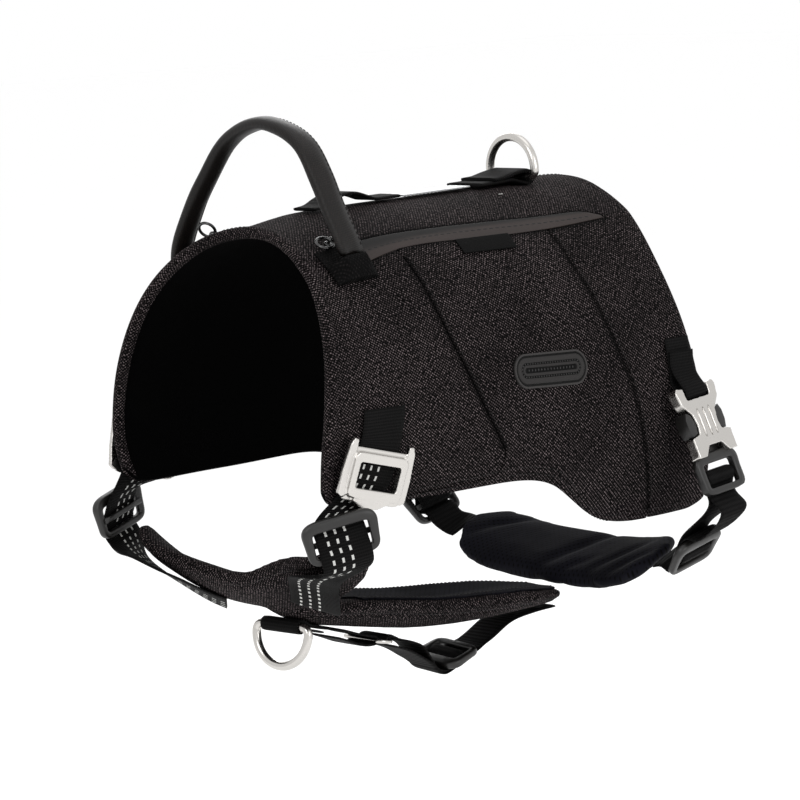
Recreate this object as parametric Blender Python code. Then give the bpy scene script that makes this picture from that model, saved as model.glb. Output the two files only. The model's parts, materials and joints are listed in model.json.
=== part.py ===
"""A dog harness for a medium to large dog, worn shape with nobody in it.

A short coat ("saddle") of coarse nylon over a foam lining carries a padded grab handle, a spine webbing
with a D-ring, a zipped pocket on each side and a rubber port. Straps with steel buckles and plastic
sliders hold a padded Y-shaped chest piece and a padded belly band under it.

Units below are millimetres; every mesh is scaled to metres when it is made.
+X is the dog's left, +Y its tail, +Z up. The origin is the underside of the saddle's ridge, at mid-length.
"""

import math

import bpy
import numpy as np

for old in list(bpy.data.objects):
    bpy.data.objects.remove(old)

MM = 0.001
GAP = 0.3  # air between pieces that touch
SEAM = GAP / 2  # each panel's share of a seam

# ---------------------------------------------------------------- the saddle's form
RIDGE = (  # (y, height of the shell's outer face on the ridge)
    (-175, -4), (-133, -4), (-124, -2.8), (-112, -1.7), (-99, 0.7), (-80, 2.8), (-50, 3.5), (0, 4),
    (50, 4.8), (75, 6.2), (96, 7.4), (120, 6.8), (150, 5),
)
HALF_WIDTH_NECK, HALF_WIDTH_LOIN = 97.0, 108.0
WIDEST_NECK, WIDEST_LOIN = -108.0, -118.0  # height of the widest line
ARCH_POWER = 2.2  # 2 is an ellipse, more is squarer
NECK_Y, LOIN_Y = -150.0, 80.0
DIP_Y, DIP, DIP_LENGTH, DIP_DEGREES = 77.5, 4.5, 14.0, 15.0  # where the lead ring is drawn into the coat

SHELL = 1.7  # outer nylon
LINING = 2.0  # foam-backed lining
INSIDE = -(SHELL + GAP + LINING)
MM_PER_DEGREE = 2.05  # along the flank

# Outlines on the saddle: degrees down from the ridge, and mm back from mid-length.
FRONT_EDGE = (  # (degrees, y)
    (0, -133), (23.7, -141.5), (35.8, -145.3), (44.9, -148.4), (52.7, -151.9), (65.9, -157.1),
    (77.4, -161.6), (87.5, -165.6), (96.3, -168.8), (101.5, -169.1), (107, -168.5), (112.8, -166.6),
    (120, -166),
)
REAR_EDGE = (  # (degrees, y)
    (0, 119), (21.6, 112.5), (37, 109.5), (56.5, 107), (71.6, 112), (86.4, 119.5), (94.4, 124),
    (105.7, 132), (129.7, 143),
)
FRONT_SEAM = (  # (degrees, y)
    (0, -84), (37.8, -79), (53.7, -76), (70.6, -70), (87.5, -54.5), (97.1, -41), (102.9, -34.5),
    (106.6, -37.5), (112, -40),
)
REAR_SEAM = (  # (degrees, y)
    (0, 36), (41.1, 38), (55.8, 41), (67.3, 47), (81, 57), (91.3, 67), (104.8, 76), (131, 95),
)
HEM = (  # (y, degrees): the cut over the elbow is the step at y 0 to 50
    (-175, 116.4), (-166, 116.5), (-140, 116.9), (-70, 113.6), (-4, 111.2), (8, 112.6), (24, 118.6),
    (36, 124.5), (52, 129), (80, 129.3), (160, 129.9),
)
RIGHT_HEM_RISE = (  # (y, degrees): worn a little round to the left, so the right hem is higher
    (-175, 0), (-150, 0.8), (-125, 1.6), (0, 1.6), (14, 2.2), (32, 4), (50, 5), (160, 5),
)
ZIP_TOP = (  # (y, degrees)
    (-175, 27), (-106, 30.1), (-70, 30.1), (-9, 30.4), (55, 32), (77, 32.9), (85, 36), (105, 34),
    (130, 34),
)
ZIP_BOTTOM = (  # (y, degrees)
    (-175, 43), (-116, 41.8), (-78, 37.8), (-48, 37.1), (-18, 37.9), (30, 37.9), (83, 37.4), (130, 38),
)
HEM_STRIP = ((-175, 1.8), (-120, 2.5), (-60, 4.5), (-40, 5), (160, 5))  # (y, mm)
CORNER = 13.0  # radius of the saddle's lower corners
ROWS_BELOW_ZIP = 11
BINDING = 5.0  # width of the bound front edge
BINDING_WALL = 1.0

WEBBING = 1.5  # thickness of every strap
WIDE = 30.0  # spine and chest straps
NARROW = 25.0  # belly strap
PAD_POWER = 2.6  # squareness of a padded section
RING_WIRE = 5.5
RING_INNER = 34.0


# ---------------------------------------------------------------- numbers
def curve(table, at):
    """The second column at a value of the first, on a smooth curve through the table's rows."""
    x, y = np.array(table, float).T
    slope = np.gradient(y, x)
    k = np.clip(np.searchsorted(x, at) - 1, 0, len(x) - 2)
    h = x[k + 1] - x[k]
    t = np.clip((at - x[k]) / h, 0, 1)
    a, b = y[k], y[k + 1]
    return ((1 + 2 * t) * (1 - t) ** 2 * a + t * t * (3 - 2 * t) * b
            + t * (1 - t) ** 2 * h * slope[k] - t * t * (1 - t) * h * slope[k + 1])


def spline(rows, count):
    """Rows of numbers read at count even steps along the smooth curve through the first three columns."""
    rows = np.array(rows, float)
    run = np.concatenate([[0], np.cumsum(np.linalg.norm(np.diff(rows[:, :3], axis=0), axis=1))])
    steps = np.linspace(0, run[-1], count)
    columns = [[curve(np.stack([run, column], 1), s) for s in steps] for column in rows.T]
    return np.array(columns).T


def unit(v):
    v = np.asarray(v, float)
    return v / np.linalg.norm(v, axis=-1, keepdims=True)


def smoothstep(t):
    t = min(max(t, 0.0), 1.0)
    return t * t * (3 - 2 * t)


# ---------------------------------------------------------------- meshes
def material(name, colour, roughness, metallic=0.0):
    made = bpy.data.materials.new(name)
    made.use_nodes = True
    shader = made.node_tree.nodes["Principled BSDF"]
    shader.inputs["Base Color"].default_value = (*colour, 1)
    shader.inputs["Roughness"].default_value = roughness
    shader.inputs["Metallic"].default_value = metallic
    return made


def add(name, points, faces, look, smooth=True):
    """An object from points and faces, with the faces turned to look out."""
    points = np.asarray(points, float)
    fans = [points[[face[0], face[k], face[k + 1]]] for face in faces for k in range(1, len(face) - 1)]
    if np.linalg.det(np.array(fans)).sum() < 0:
        faces = [face[::-1] for face in faces]
    mesh = bpy.data.meshes.new(name)
    mesh.from_pydata([tuple(np.asarray(p, float) * MM) for p in points], [], [tuple(f) for f in faces])
    mesh.update()
    if smooth:
        mesh.shade_smooth()
        mesh.set_sharp_from_angle(angle=math.radians(35))
    mesh.materials.append(look)
    made = bpy.data.objects.new(name, mesh)
    bpy.context.collection.objects.link(made)
    return made


def join(name, parts):
    """One solid from overlapping ones, with the first one's material."""
    base = parts[0]
    for other in parts[1:]:
        cut = base.modifiers.new("union", "BOOLEAN")
        cut.operation = "UNION"
        cut.object = other
        other.hide_render = True
        other.display_type = "WIRE"
    base.name = name
    return base


def wall(name, top, bottom, look, cells=None):
    """A closed sheet between two grids of points; cells says which of the grid's cells it covers."""
    rows, columns = top.shape[:2]
    if cells is None:
        cells = np.ones((rows - 1, columns - 1), bool)
    count = rows * columns
    faces, edges = [], {}
    for i, j in zip(*np.nonzero(cells)):
        a, b = i * columns + j, (i + 1) * columns + j
        c, d = b + 1, a + 1
        faces += [(a, b, c), (a, c, d)]
        faces += [(a + count, c + count, b + count), (a + count, d + count, c + count)]
        for p, q in ((a, b), (b, c), (c, d), (d, a)):
            if (q, p) in edges:
                del edges[q, p]
            else:
                edges[p, q] = True
    for p, q in edges:
        faces += [(q, p, p + count), (q, p + count, q + count)]
    used = sorted({k for face in faces for k in face})
    place = {k: n for n, k in enumerate(used)}
    points = np.concatenate([top.reshape(-1, 3), bottom.reshape(-1, 3)])[used]
    return add(name, points, [[place[k] for k in face] for face in faces], look)


def tube(name, rings, look, closed=False):
    """A skin over rings of points, each ring with the same number; closed joins the last to the first."""
    rings = np.array(rings, float)
    turns, sides = rings.shape[:2]
    faces = []
    for i in range(turns if closed else turns - 1):
        a, b = i * sides, (i + 1) % turns * sides
        for j in range(sides):
            k = (j + 1) % sides
            faces.append((a + j, a + k, b + k, b + j))
    if not closed:
        first_cap, last_cap = range(sides - 1, -1, -1), range((turns - 1) * sides, turns * sides)
        faces += [tuple(first_cap), tuple(last_cap)]
    return add(name, rings.reshape(-1, 3), faces, look)


def frames(centres, across, closed=False, square=True):
    """Along a path: unit tangents, the across vectors (squared to them if asked) and the normals."""
    centres = np.asarray(centres, float)
    if closed:
        along = unit(np.roll(centres, -1, 0) - np.roll(centres, 1, 0))
    else:
        along = unit(np.gradient(centres, axis=0))
    across = np.broadcast_to(np.asarray(across, float), centres.shape)
    if square:
        across = across - (across * along).sum(1)[:, None] * along
    across = unit(across)
    return along, across, unit(np.cross(along, across))


def sweep(name, centres, across, section, look, closed=False, square=True):
    """A section of (across, normal) points carried along a path; section may differ at each centre."""
    _, side, normal = frames(centres, across, closed, square)
    section = np.broadcast_to(np.asarray(section, float), (len(centres),) + np.shape(section)[-2:])
    rings = (np.asarray(centres)[:, None] + section[:, :, :1] * side[:, None]
             + section[:, :, 1:] * normal[:, None])
    return tube(name, rings, look, closed)


def strap(name, centres, across, width, look, thick=WEBBING):
    half, deep = width / 2, thick / 2
    section = [(-half, -deep), (half, -deep), (half, deep), (-half, deep)]
    return sweep(name, centres, across, section, look, square=False)


def oval(half_width, half_thick, sides=12, power=PAD_POWER):
    """A rounded section, flatter than an ellipse."""
    turn = np.linspace(0, 2 * math.pi, sides, endpoint=False) + math.pi / sides
    c, s = np.cos(turn), np.sin(turn)
    return np.stack([half_width * np.sign(c) * abs(c) ** (2 / power),
                     half_thick * np.sign(s) * abs(s) ** (2 / power)], 1)


def circle(radius, sides=10):
    turn = np.linspace(0, 2 * math.pi, sides, endpoint=False)
    return np.stack([radius * np.cos(turn), radius * np.sin(turn)], 1)


def rounded(width, height, radius, corner_points=4):
    """A rounded rectangle's outline, counter-clockwise, as (across, along) points."""
    points = []
    for sx, sy, start in ((1, 1, 0), (-1, 1, 90), (-1, -1, 180), (1, -1, 270)):
        for k in range(corner_points):
            turn = math.radians(start + 90 * k / (corner_points - 1))
            points.append((sx * (width / 2 - radius) + radius * math.cos(turn),
                           sy * (height / 2 - radius) + radius * math.sin(turn)))
    return np.array(points)


class Pose:
    """A place for a flat piece: centre, u across it, v down it and n out of its face."""

    def __init__(self, centre, u, v):
        self.centre = np.array(centre, float)
        self.u = unit(u)
        self.v = unit(np.array(v, float) - np.dot(v, self.u) * self.u)
        self.n = np.cross(self.v, self.u)

    def at(self, a, b, c=0.0):
        return self.centre + a * self.u + b * self.v + c * self.n

    def ring(self, outline, height):
        return [self.at(a, b, height) for a, b in outline]


# ---------------------------------------------------------------- the saddle's surface
def body(degrees, y, out=0.0):
    """A point on the saddle: degrees down from the ridge, + on the dog's left, and mm out of the shell."""

    def skin(turn, y):
        grow = smoothstep((y - NECK_Y) / (LOIN_Y - NECK_Y))
        half = HALF_WIDTH_NECK + (HALF_WIDTH_LOIN - HALF_WIDTH_NECK) * grow
        widest = WIDEST_NECK + (WIDEST_LOIN - WIDEST_NECK) * grow
        top = curve(RIDGE, y)
        s, c = math.sin(turn), math.cos(turn)
        x = half * math.copysign(abs(s) ** (2 / ARCH_POWER), s)
        z = widest + (top - widest) * math.copysign(abs(c) ** (2 / ARCH_POWER), c)
        near = max(0.0, 1 - abs(y - DIP_Y) / DIP_LENGTH) * max(0.0, 1 - abs(math.degrees(turn)) / DIP_DEGREES)
        z -= DIP * near
        return np.array([x, y, z])

    turn, step = math.radians(degrees), 0.01
    point = skin(turn, y)
    if out:
        around = skin(turn + step, y) - skin(turn - step, y)
        normal = unit(np.cross(around, skin(turn, y + 1) - skin(turn, y - 1)))
        point = point + out * normal
    return point


# Columns of the saddle's grid. The named ones are edges of the cut pieces.
ZIP_START, FRONT_SEAM_COLUMN, REAR_SEAM_COLUMN, ZIP_END = 4, 6, 11, 14
BINDING_COLUMN = 2


def column_lines(degrees):
    """Where each column of the grid lies along the dog, at an angle round the arch."""
    front, rear = curve(FRONT_EDGE, degrees), curve(REAR_EDGE, degrees)
    first, second = curve(FRONT_SEAM, degrees), curve(REAR_SEAM, degrees)
    lines = [front, front + 2, front + BINDING, front + 12]
    lines += [front + share * (first - front) for share in (0.42, 0.7)]
    lines += [first + share * (second - first) for share in (0, 0.2, 0.4, 0.6, 0.8, 1)]
    lines += [second + share * (rear - second) for share in (0.33, 0.5, 0.67)]
    return lines + [rear - 12, rear - 4, rear]


def corner_rise(distance):
    """How far a rounded corner lifts the hem, this far in from the edge."""
    reach = min(max(distance, 0.0), CORNER)
    return CORNER - math.sqrt(CORNER ** 2 - (CORNER - reach) ** 2)


def row_angles(y, side):
    """The angle of each row of the grid from the ridge to the hem, at a place along the dog."""
    top, low, hem = curve(ZIP_TOP, y), curve(ZIP_BOTTOM, y), curve(HEM, y)
    if side < 0:
        hem -= curve(RIGHT_HEM_RISE, y)
    rise = corner_rise(y - curve(FRONT_EDGE, hem)) + corner_rise(curve(REAR_EDGE, hem) - y)
    hem -= rise / MM_PER_DEGREE
    strip = hem - curve(HEM_STRIP, y) / MM_PER_DEGREE
    flank = [low + (strip - low) * k / ROWS_BELOW_ZIP for k in range(1, ROWS_BELOW_ZIP + 1)]
    return [0.0, top / 2, top, low] + flank + [hem]


def saddle_places():
    """(degrees, y) of every point of the grid: rows from the right hem over the ridge to the left hem."""
    half = len(row_angles(0.0, 1))
    flanks = {}
    for side in (1, -1):
        grid = np.zeros((half, len(column_lines(0.0)), 2))
        for i in range(half):
            for j in range(grid.shape[1]):
                degrees = 6.0 * i
                for _ in range(12):
                    y = column_lines(degrees)[j]
                    degrees = row_angles(y, side)[i]
                grid[i, j] = degrees * side, y
        flanks[side] = grid
    return np.concatenate([flanks[-1][:0:-1], flanks[1]])


PLACES = saddle_places()
RIDGE_ROW = len(PLACES) // 2
HEM_ROW = RIDGE_ROW - 1  # cells of the hem strip


def saddle_skin(out, cells=None):
    """The grid's points, moved out; a piece's seams are drawn in by its share of the gap."""
    points = np.array([[body(degrees, y, out) for degrees, y in row] for row in PLACES])
    if cells is None:
        return points
    padded = np.pad(cells.astype(int), 1, mode="edge")
    before, after = padded[:-1], padded[1:]
    along = (after[:, 1:] + after[:, :-1]) - (before[:, 1:] + before[:, :-1])
    across = (padded[1:, 1:] + padded[:-1, 1:]) - (padded[1:, :-1] + padded[:-1, :-1])
    row_way = unit(np.gradient(points, axis=0))
    column_way = unit(np.gradient(points, axis=1))
    return points + SEAM * (np.sign(along)[..., None] * row_way + np.sign(across)[..., None] * column_way)


def saddle_piece(name, cells, look, top=0.0, bottom=-SHELL):
    return wall(name, saddle_skin(top, cells), saddle_skin(bottom, cells), look, cells)


def band_and_column():
    """For each cell: its band down from the ridge, its side (-1 right, 1 left) and its column."""
    i, j = np.indices((len(PLACES) - 1, PLACES.shape[1] - 1))
    side = np.where(i < RIDGE_ROW, -1, 1)
    band = np.where(side > 0, i - RIDGE_ROW, RIDGE_ROW - 1 - i)
    return band, side, j


def patch(name, degrees, along, height, look, rows=5, columns=5, base=GAP):
    """A piece lying on the saddle over a span of angle and length; height(p, q) is its top, in shares."""
    tops, bottoms = np.zeros((rows, columns, 3)), np.zeros((rows, columns, 3))
    for i, p in enumerate(np.linspace(0, 1, rows)):
        for j, q in enumerate(np.linspace(0, 1, columns)):
            place = degrees[0] + (degrees[1] - degrees[0]) * p, along[0] + (along[1] - along[0]) * q
            tops[i, j] = body(*place, height(p, q))
            bottoms[i, j] = body(*place, base)
    return wall(name, tops, bottoms, look)


# ---------------------------------------------------------------- looks
NYLON = material("coarse nylon, black", (0.022, 0.019, 0.020), 0.85)
LINING_CLOTH = material("lining cloth, black", (0.008, 0.008, 0.009), 0.9)
COATED = material("coated zip tape, charcoal", (0.035, 0.034, 0.033), 0.5)
WEB = material("woven webbing, black", (0.012, 0.012, 0.013), 0.75)
MESH_CLOTH = material("spacer mesh, black", (0.010, 0.011, 0.014), 0.9)
STEEL = material("polished steel", (0.72, 0.71, 0.70), 0.2, 1.0)
PLASTIC = material("moulded plastic, charcoal", (0.030, 0.030, 0.031), 0.45)
RUBBER = material("moulded rubber, black", (0.020, 0.020, 0.021), 0.6)
REFLECTIVE = material("reflective tape, silver", (0.50, 0.50, 0.50), 0.35)
GLOSS = material("gloss plastic, black", (0.010, 0.010, 0.010), 0.12)
SIDES = (("L", 1), ("R", -1))


# ---------------------------------------------------------------- the coat
def coat():
    band, side, column = band_and_column()
    everywhere = np.ones(band.shape, bool)
    wall("lining", saddle_skin(-SHELL - GAP), saddle_skin(INSIDE), LINING_CLOTH, everywhere)
    spine = band < 2
    zip_band = (band == 2) & (column >= ZIP_START) & (column < ZIP_END)
    pocket = (band > 2) & (column >= FRONT_SEAM_COLUMN) & (column < REAR_SEAM_COLUMN)
    pocket |= (band == HEM_ROW) & (column < FRONT_SEAM_COLUMN)
    saddle_piece("shell", spine | ~(zip_band | pocket), NYLON)
    for letter, sign in SIDES:
        saddle_piece(f"pocket_{letter}", pocket & (side == sign), NYLON)
        saddle_piece(f"zip_tape_{letter}", zip_band & (side == sign), COATED, top=-0.6)


def front_binding():
    """A channel of cloth folded over the front edge from corner to corner."""
    air = 2 * GAP
    outer, inner = air + BINDING_WALL, INSIDE - air - BINDING_WALL
    levels = {out: saddle_skin(out) for out in (air, outer, INSIDE - air, inner)}

    def point(row, out, past):
        edge, back = levels[out][row, 0], levels[out][row, BINDING_COLUMN]
        return back if past is None else edge + past * unit(edge - back)

    section = ((outer, None), (outer, outer), (inner, outer), (inner, None), (INSIDE - air, None),
               (INSIDE - air, air), (air, air), (air, None))
    rings = [[point(row, out, past) for out, past in section] for row in range(len(PLACES))]
    tube("front_binding", rings, NYLON)


LABEL_FROM, LABEL_TO, LABEL_DEGREES, LABEL_THICK = -36.0, 5.0, 6.2, 1.0
PORT_DEGREES, PORT_LENGTH, PORT_HEIGHT = 82.5, 56.0, 18.5
PORT_STEPS = (  # (in from the rim, out of the pocket): a raised rim, a groove and a plain middle
    (0, 0.6), (0, 1.7), (1.6, 2.4), (3.0, 2.4), (4.0, 1.5), (5.4, 1.5), (6.4, 2.1), (7.6, 1.4),
)


def pocket_trim():
    """On each pocket: a plain folded label at the zip, and a rubber port for a lead or cable."""
    top = curve(ZIP_BOTTOM, LABEL_FROM) + 0.7
    for letter, sign in SIDES:
        patch(f"label_{letter}", (sign * top, sign * (top + LABEL_DEGREES)), (LABEL_FROM, LABEL_TO),
              lambda p, q: GAP + LABEL_THICK, WEB, rows=3, columns=5)
        rings = []
        for inset, out in PORT_STEPS:
            length, height = PORT_LENGTH - 2 * inset, PORT_HEIGHT - 2 * inset
            outline = rounded(length, height, height / 2 - 0.01, 7)
            rings.append([body(sign * (PORT_DEGREES + b / MM_PER_DEGREE), a, out) for a, b in outline])
        tube(f"port_{letter}", rings, RUBBER)


# ---------------------------------------------------------------- on the spine
BAR_Y = DIP_Y  # where the rear ring's bar crosses the ridge
BAR_RISE = GAP + WEBBING + GAP + RING_WIRE / 2
LOOP_RADIUS = RING_WIRE / 2 + GAP + WEBBING / 2
FLAT = GAP + WEBBING / 2  # middle of a strap lying on a surface
NEXT = WEBBING + GAP  # from one layer of webbing to the next


def ridge(y):
    return body(0, y)[2]


def d_ring(name, pose):
    """A D of round wire: its bar lies along the pose's u at the centre, its bow stands along -v."""
    wire, corner = RING_WIRE / 2, 4.75
    reach = RING_INNER / 2 + wire
    path = [(-reach + corner, 0), (0, 0), (reach - corner, 0)]
    for turn in (30, 60):
        t = math.radians(turn)
        path.append((reach - corner + corner * math.sin(t), corner - corner * math.cos(t)))
    for turn in np.linspace(0, 180, 11):
        t = math.radians(turn)
        path.append((reach * math.cos(t), corner + reach * math.sin(t)))
    for turn in (60, 30):
        t = math.radians(turn)
        path.append((-reach + corner - corner * math.sin(t), corner - corner * math.cos(t)))
    made = sweep(name, [pose.at(a, -c) for a, c in path], pose.n, circle(wire, 8), STEEL, closed=True)
    return put_origin(made, pose.centre)


def put_origin(made, place):
    """Moves an object's origin onto its joint without moving the object."""
    shift = np.array(place) * MM
    for vertex in made.data.vertices:
        vertex.co = [c - d for c, d in zip(vertex.co, shift)]
    made.location = shift
    return made


FINGER_LOOP = (  # (y, rise): webbing sewn down at both ends with a low hump between
    (-92, 0), (-84, 0.3), (-77, 2.8), (-68, 5.2), (-59, 5.0), (-51, 2.6), (-44, 0.2), (-36, 0), (-25, 0),
)
FINGER_LOOP_WIDTH = 20.0
STRIP_PLACES = (-22, -8, 6, 20, 33)  # y along the reflective strip
STRIP_WIDTH, STRIP_THICK = 18.0, 1.0
RING_TAB_UNDER = (36, 44, 52, 58, 64, 70)  # y along the tab's lower layer, up to the ring's bar
RING_TAB_OVER = ((70, 0.4), (63, 1.6), (56, 3), (48, 9))  # (y, below the fold's top): back over it
RING_TAB_AIR = 0.5  # the fold stands this much more off the coat


def spine_parts():
    """Along the ridge: a finger loop, a reflective strip, then a fold of webbing that holds the lead ring."""
    hump = [(0, y, ridge(y) + FLAT + rise) for y, rise in FINGER_LOOP]
    strap("finger_loop", hump, (1, 0, 0), FINGER_LOOP_WIDTH, WEB)
    tape = [(0, y, ridge(y) + GAP + STRIP_THICK / 2) for y in STRIP_PLACES]
    strap("reflective_strip", tape, (1, 0, 0), STRIP_WIDTH, REFLECTIVE, thick=STRIP_THICK)
    bar = ridge(BAR_Y) + BAR_RISE + RING_TAB_AIR
    path = [(y, ridge(y) + FLAT) for y in RING_TAB_UNDER]
    for turn in (-90, -54, -18, 18, 54, 90):
        t = math.radians(turn)
        path.append((BAR_Y + LOOP_RADIUS * math.cos(t), bar + LOOP_RADIUS * math.sin(t)))
    path += [(y, max(ridge(y) + FLAT + NEXT, bar + LOOP_RADIUS - drop)) for y, drop in RING_TAB_OVER]
    strap("ring_tab", [(0, y, z) for y, z in path], (1, 0, 0), WIDE, WEB)
    d_ring("rear_ring", Pose((0, BAR_Y, bar), (1, 0, 0), (0, 0, -1)))


# ---------------------------------------------------------------- the grab handle
HANDLE = (  # (x, y, z) of its middle, from the dog's right over the top to its left
    (-80.3, -121.5, -29.1), (-79.4, -122, -24), (-76.4, -122.6, -17), (-71.2, -122.6, -7), (-65.2, -122.2, 3),
    (-58.9, -121.3, 13), (-52, -120, 23), (-44.7, -118.8, 33), (-35.5, -118, 43), (-27.9, -117.5, 48),
    (-15, -117.3, 53), (-1.4, -117.5, 55.5), (12.2, -117.4, 53), (25, -117.5, 48), (32.6, -117.6, 43),
    (41.3, -118, 32.8), (46.8, -118, 22.5), (52.2, -118, 12.2), (57.5, -118, 2.1), (62.8, -117.8, -7.9),
    (66, -117.5, -14), (67.8, -117.1, -19.3),
)
HANDLE_SECTION = (  # (across, normal): a flattened tube with its sewn flange along the rear edge
    (9.3, 1.4), (6.6, 2.6), (3.5, 4.0), (-1.5, 4.3), (-6.2, 3.4), (-8.4, 0.6), (-7.6, -2.6), (-3.5, -4.2),
    (1.5, -4.2), (5.4, -2.8), (6.6, 0.2), (9.3, 0.2),
)
HANDLE_BASES = (  # (letter, side, degrees its patch starts at, degrees of its step, y, how proud)
    ("L", 1, 31.5, 40, -119, 11.5), ("R", -1, 37, 49, -121, 13),
)
BASE_DEGREES, BASE_HALF_LENGTH, BASE_CLOTH = 16, 15, 1.5
BASE_SLOPES = 0.22, 9.0  # share of its length and degrees over which the patch falls to the coat


def handle():
    """A padded sleeve over the neck, each end let into a folded patch sewn to the shell."""
    sweep("handle", spline(HANDLE, 34), (0, 1, 0), HANDLE_SECTION, NYLON)
    for letter, sign, start, step, y, hump in HANDLE_BASES:
        def height(p, q, start=start, step=step, hump=hump):
            degrees = start + BASE_DEGREES * p
            if degrees < step:
                return GAP + BASE_CLOTH
            aside = smoothstep((0.5 - abs(q - 0.5)) / BASE_SLOPES[0])
            below = 1 - smoothstep((degrees - step - 2) / BASE_SLOPES[1])
            return GAP + BASE_CLOTH + (hump - BASE_CLOTH) * aside * below

        patch(f"handle_base_{letter}", (sign * start, sign * (start + BASE_DEGREES)),
              (y - BASE_HALF_LENGTH, y + BASE_HALF_LENGTH), height, WEB, rows=13, columns=9, base=2 * GAP)


# ---------------------------------------------------------------- zips
PULL_DEGREES, PULL_Y = 29.2, -116.5  # the zip's slider, under the handle's end
PULL_EYE = (0.0, 1.3, 3.8)  # across, forward and out of the slider
PULL_RADIUS, PULL_WIRE = 5.2, 1.1
PULL_TILT = {"L": -6, "R": 55}  # degrees up from lying forward along the coat
ZIP_SLIDER_STEPS = ((6.4, 10, 0.6), (6.4, 10, 1.6), (5.6, 9.2, 2.1))  # (width, length, out)
ZIP_EYE = ((-1.1, 1.6), (-1.1, 5.0), (-0.2, 5.8), (2.8, 5.8), (3.7, 5.0), (3.7, 1.6))  # (forward, out)


def zip_pulls():
    """At the front end of each zip: a slider with an eye, and a ring that hangs in it."""
    for letter, sign in SIDES:
        place = body(sign * PULL_DEGREES, PULL_Y)
        back = body(sign * PULL_DEGREES, PULL_Y + 1) - body(sign * PULL_DEGREES, PULL_Y - 1)
        down = body(sign * (PULL_DEGREES + 1), PULL_Y) - body(sign * (PULL_DEGREES - 1), PULL_Y)
        pose = Pose(place, sign * down, -back)
        rings = [pose.ring(rounded(width, length, 1.4, 3), out) for width, length, out in ZIP_SLIDER_STEPS]
        eye = sweep(f"zip_eye_{letter}", [pose.at(0, forward, out) for forward, out in ZIP_EYE], pose.u,
                    rounded(2.2, 1.1, 0.3, 2), GLOSS)
        join(f"zip_slider_{letter}", [tube(f"zip_slider_{letter}", rings, GLOSS), eye])
        pivot = pose.at(*PULL_EYE)
        tilt = math.radians(PULL_TILT[letter])
        reach = pose.at(0, math.cos(tilt), math.sin(tilt)) - pose.centre
        turns = np.linspace(0, 2 * math.pi, 18, endpoint=False)
        loop = [pivot + PULL_RADIUS * ((1 - math.cos(t)) * reach + math.sin(t) * pose.u) for t in turns]
        across = np.cross(reach, pose.u)
        ring = sweep(f"zip_pull_{letter}", loop, across, circle(PULL_WIRE, 6), GLOSS, closed=True)
        put_origin(ring, pivot)


# ---------------------------------------------------------------- the chest piece
ARM = (  # left top to right top: (x, y, z, across x, y, z, half width, half thickness)
    (90, -150, -181, 0.66, 0.72, 0.25, 6, 3), (87, -149.5, -185, 0.66, 0.72, 0.15, 13, 4.2),
    (80, -149, -190.5, 0.65, 0.72, 0, 18, 5), (60, -146.5, -198.5, 0.58, 0.7, -0.35, 22, 5.2),
    (35, -143.5, -207, 0.38, 0.76, -0.52, 24, 5.4), (12, -142, -213.5, 0.15, 0.84, -0.52, 24, 5.8),
    (-12, -143.5, -214.8, -0.15, 0.84, -0.52, 23, 6), (-38, -148, -211, -0.4, 0.74, -0.5, 21, 5.8),
    (-62, -151.6, -203.5, -0.6, 0.7, -0.3, 18, 5.5), (-80, -154, -193.5, -0.66, 0.72, 0, 15, 5),
    (-87, -154.5, -187, -0.66, 0.72, 0.15, 12, 4.2), (-90, -155, -182, -0.66, 0.72, 0.25, 6, 3),
)
TONGUE = (  # (y, z of its middle, half width, rim rise, half thickness)
    (-133, -224, 15, 1, 4), (-117, -231.5, 23, 4, 6), (-88, -238, 31, 9, 6.8), (-60, -243.5, 33, 10, 6.8),
    (-25, -249.5, 33, 10, 6.8), (25, -252.5, 31, 8, 6.5), (60, -253, 27, 5, 5.5), (84, -253.5, 19, 2, 4.5),
    (95, -254, 8, 0, 2.5),
)


ARM_ROWS = spline(ARM, 22)
LINING_HEM, MESH_THICK = 5.0, 1.25  # the tongue's lining: in from the pad's edge, and its thickness


def on_arm(x, aside, lift):
    """A point and the outward normal on the arms' outer face: x is how far along, aside across it."""
    rows = ARM_ROWS[::-1]
    centre = np.array([np.interp(x, rows[:, 0], rows[:, k]) for k in range(8)])
    _, side, normal = frames(rows[::-1, :3], rows[::-1, 3:6])
    out = unit([np.interp(x, rows[:, 0], normal[::-1, k]) for k in range(3)])
    across = unit([np.interp(x, rows[:, 0], side[::-1, k]) for k in range(3)])
    half, thick = centre[6:]
    crown = thick * (1 - min(abs(aside) / half, 0.98) ** PAD_POWER) ** (1 / PAD_POWER)
    return centre[:3] + aside * across + (crown + lift) * out, out


def chest_piece():
    """A Y of padded cloth: two arms up to the front buckles, a tongue back between the legs."""
    sections = [oval(half, thick) for half, thick in ARM_ROWS[:, 6:]]
    arms = sweep("chest_pad", ARM_ROWS[:, :3], ARM_ROWS[:, 3:6], sections, NYLON)
    rings, lining = [], []
    for y, z, half, rise, thick in spline(TONGUE, 15):
        rings.append([(x, y, z + c + rise * (x / half) ** 2) for x, c in oval(half, thick, 14)])
        if -100 < y < 88:
            across = np.linspace(-1, 1, 7) * (1 - LINING_HEM / half)
            crown = thick * (1 - abs(across) ** PAD_POWER) ** (1 / PAD_POWER) + rise * across ** 2
            lining.append([(x * half, y, z + c) for x, c in zip(across, crown)])
    join("chest_pad", [arms, tube("chest_tongue", rings, NYLON)])
    lining = np.array(lining) + (0, 0, 0.75)
    wall("chest_lining", lining + (0, 0, MESH_THICK), lining, MESH_CLOTH)


def below_tongue(y):
    """The height of the tongue's underside on its middle line."""
    rows = spline(TONGUE, 15)
    middle = curve(rows[:, (0, 1)], y)
    return middle - curve(rows[:, (0, 4)], y)


CHEST_BAR_Y = -127.0
CHEST_RING_U = (0.985, 0.17, -0.03)


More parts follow.
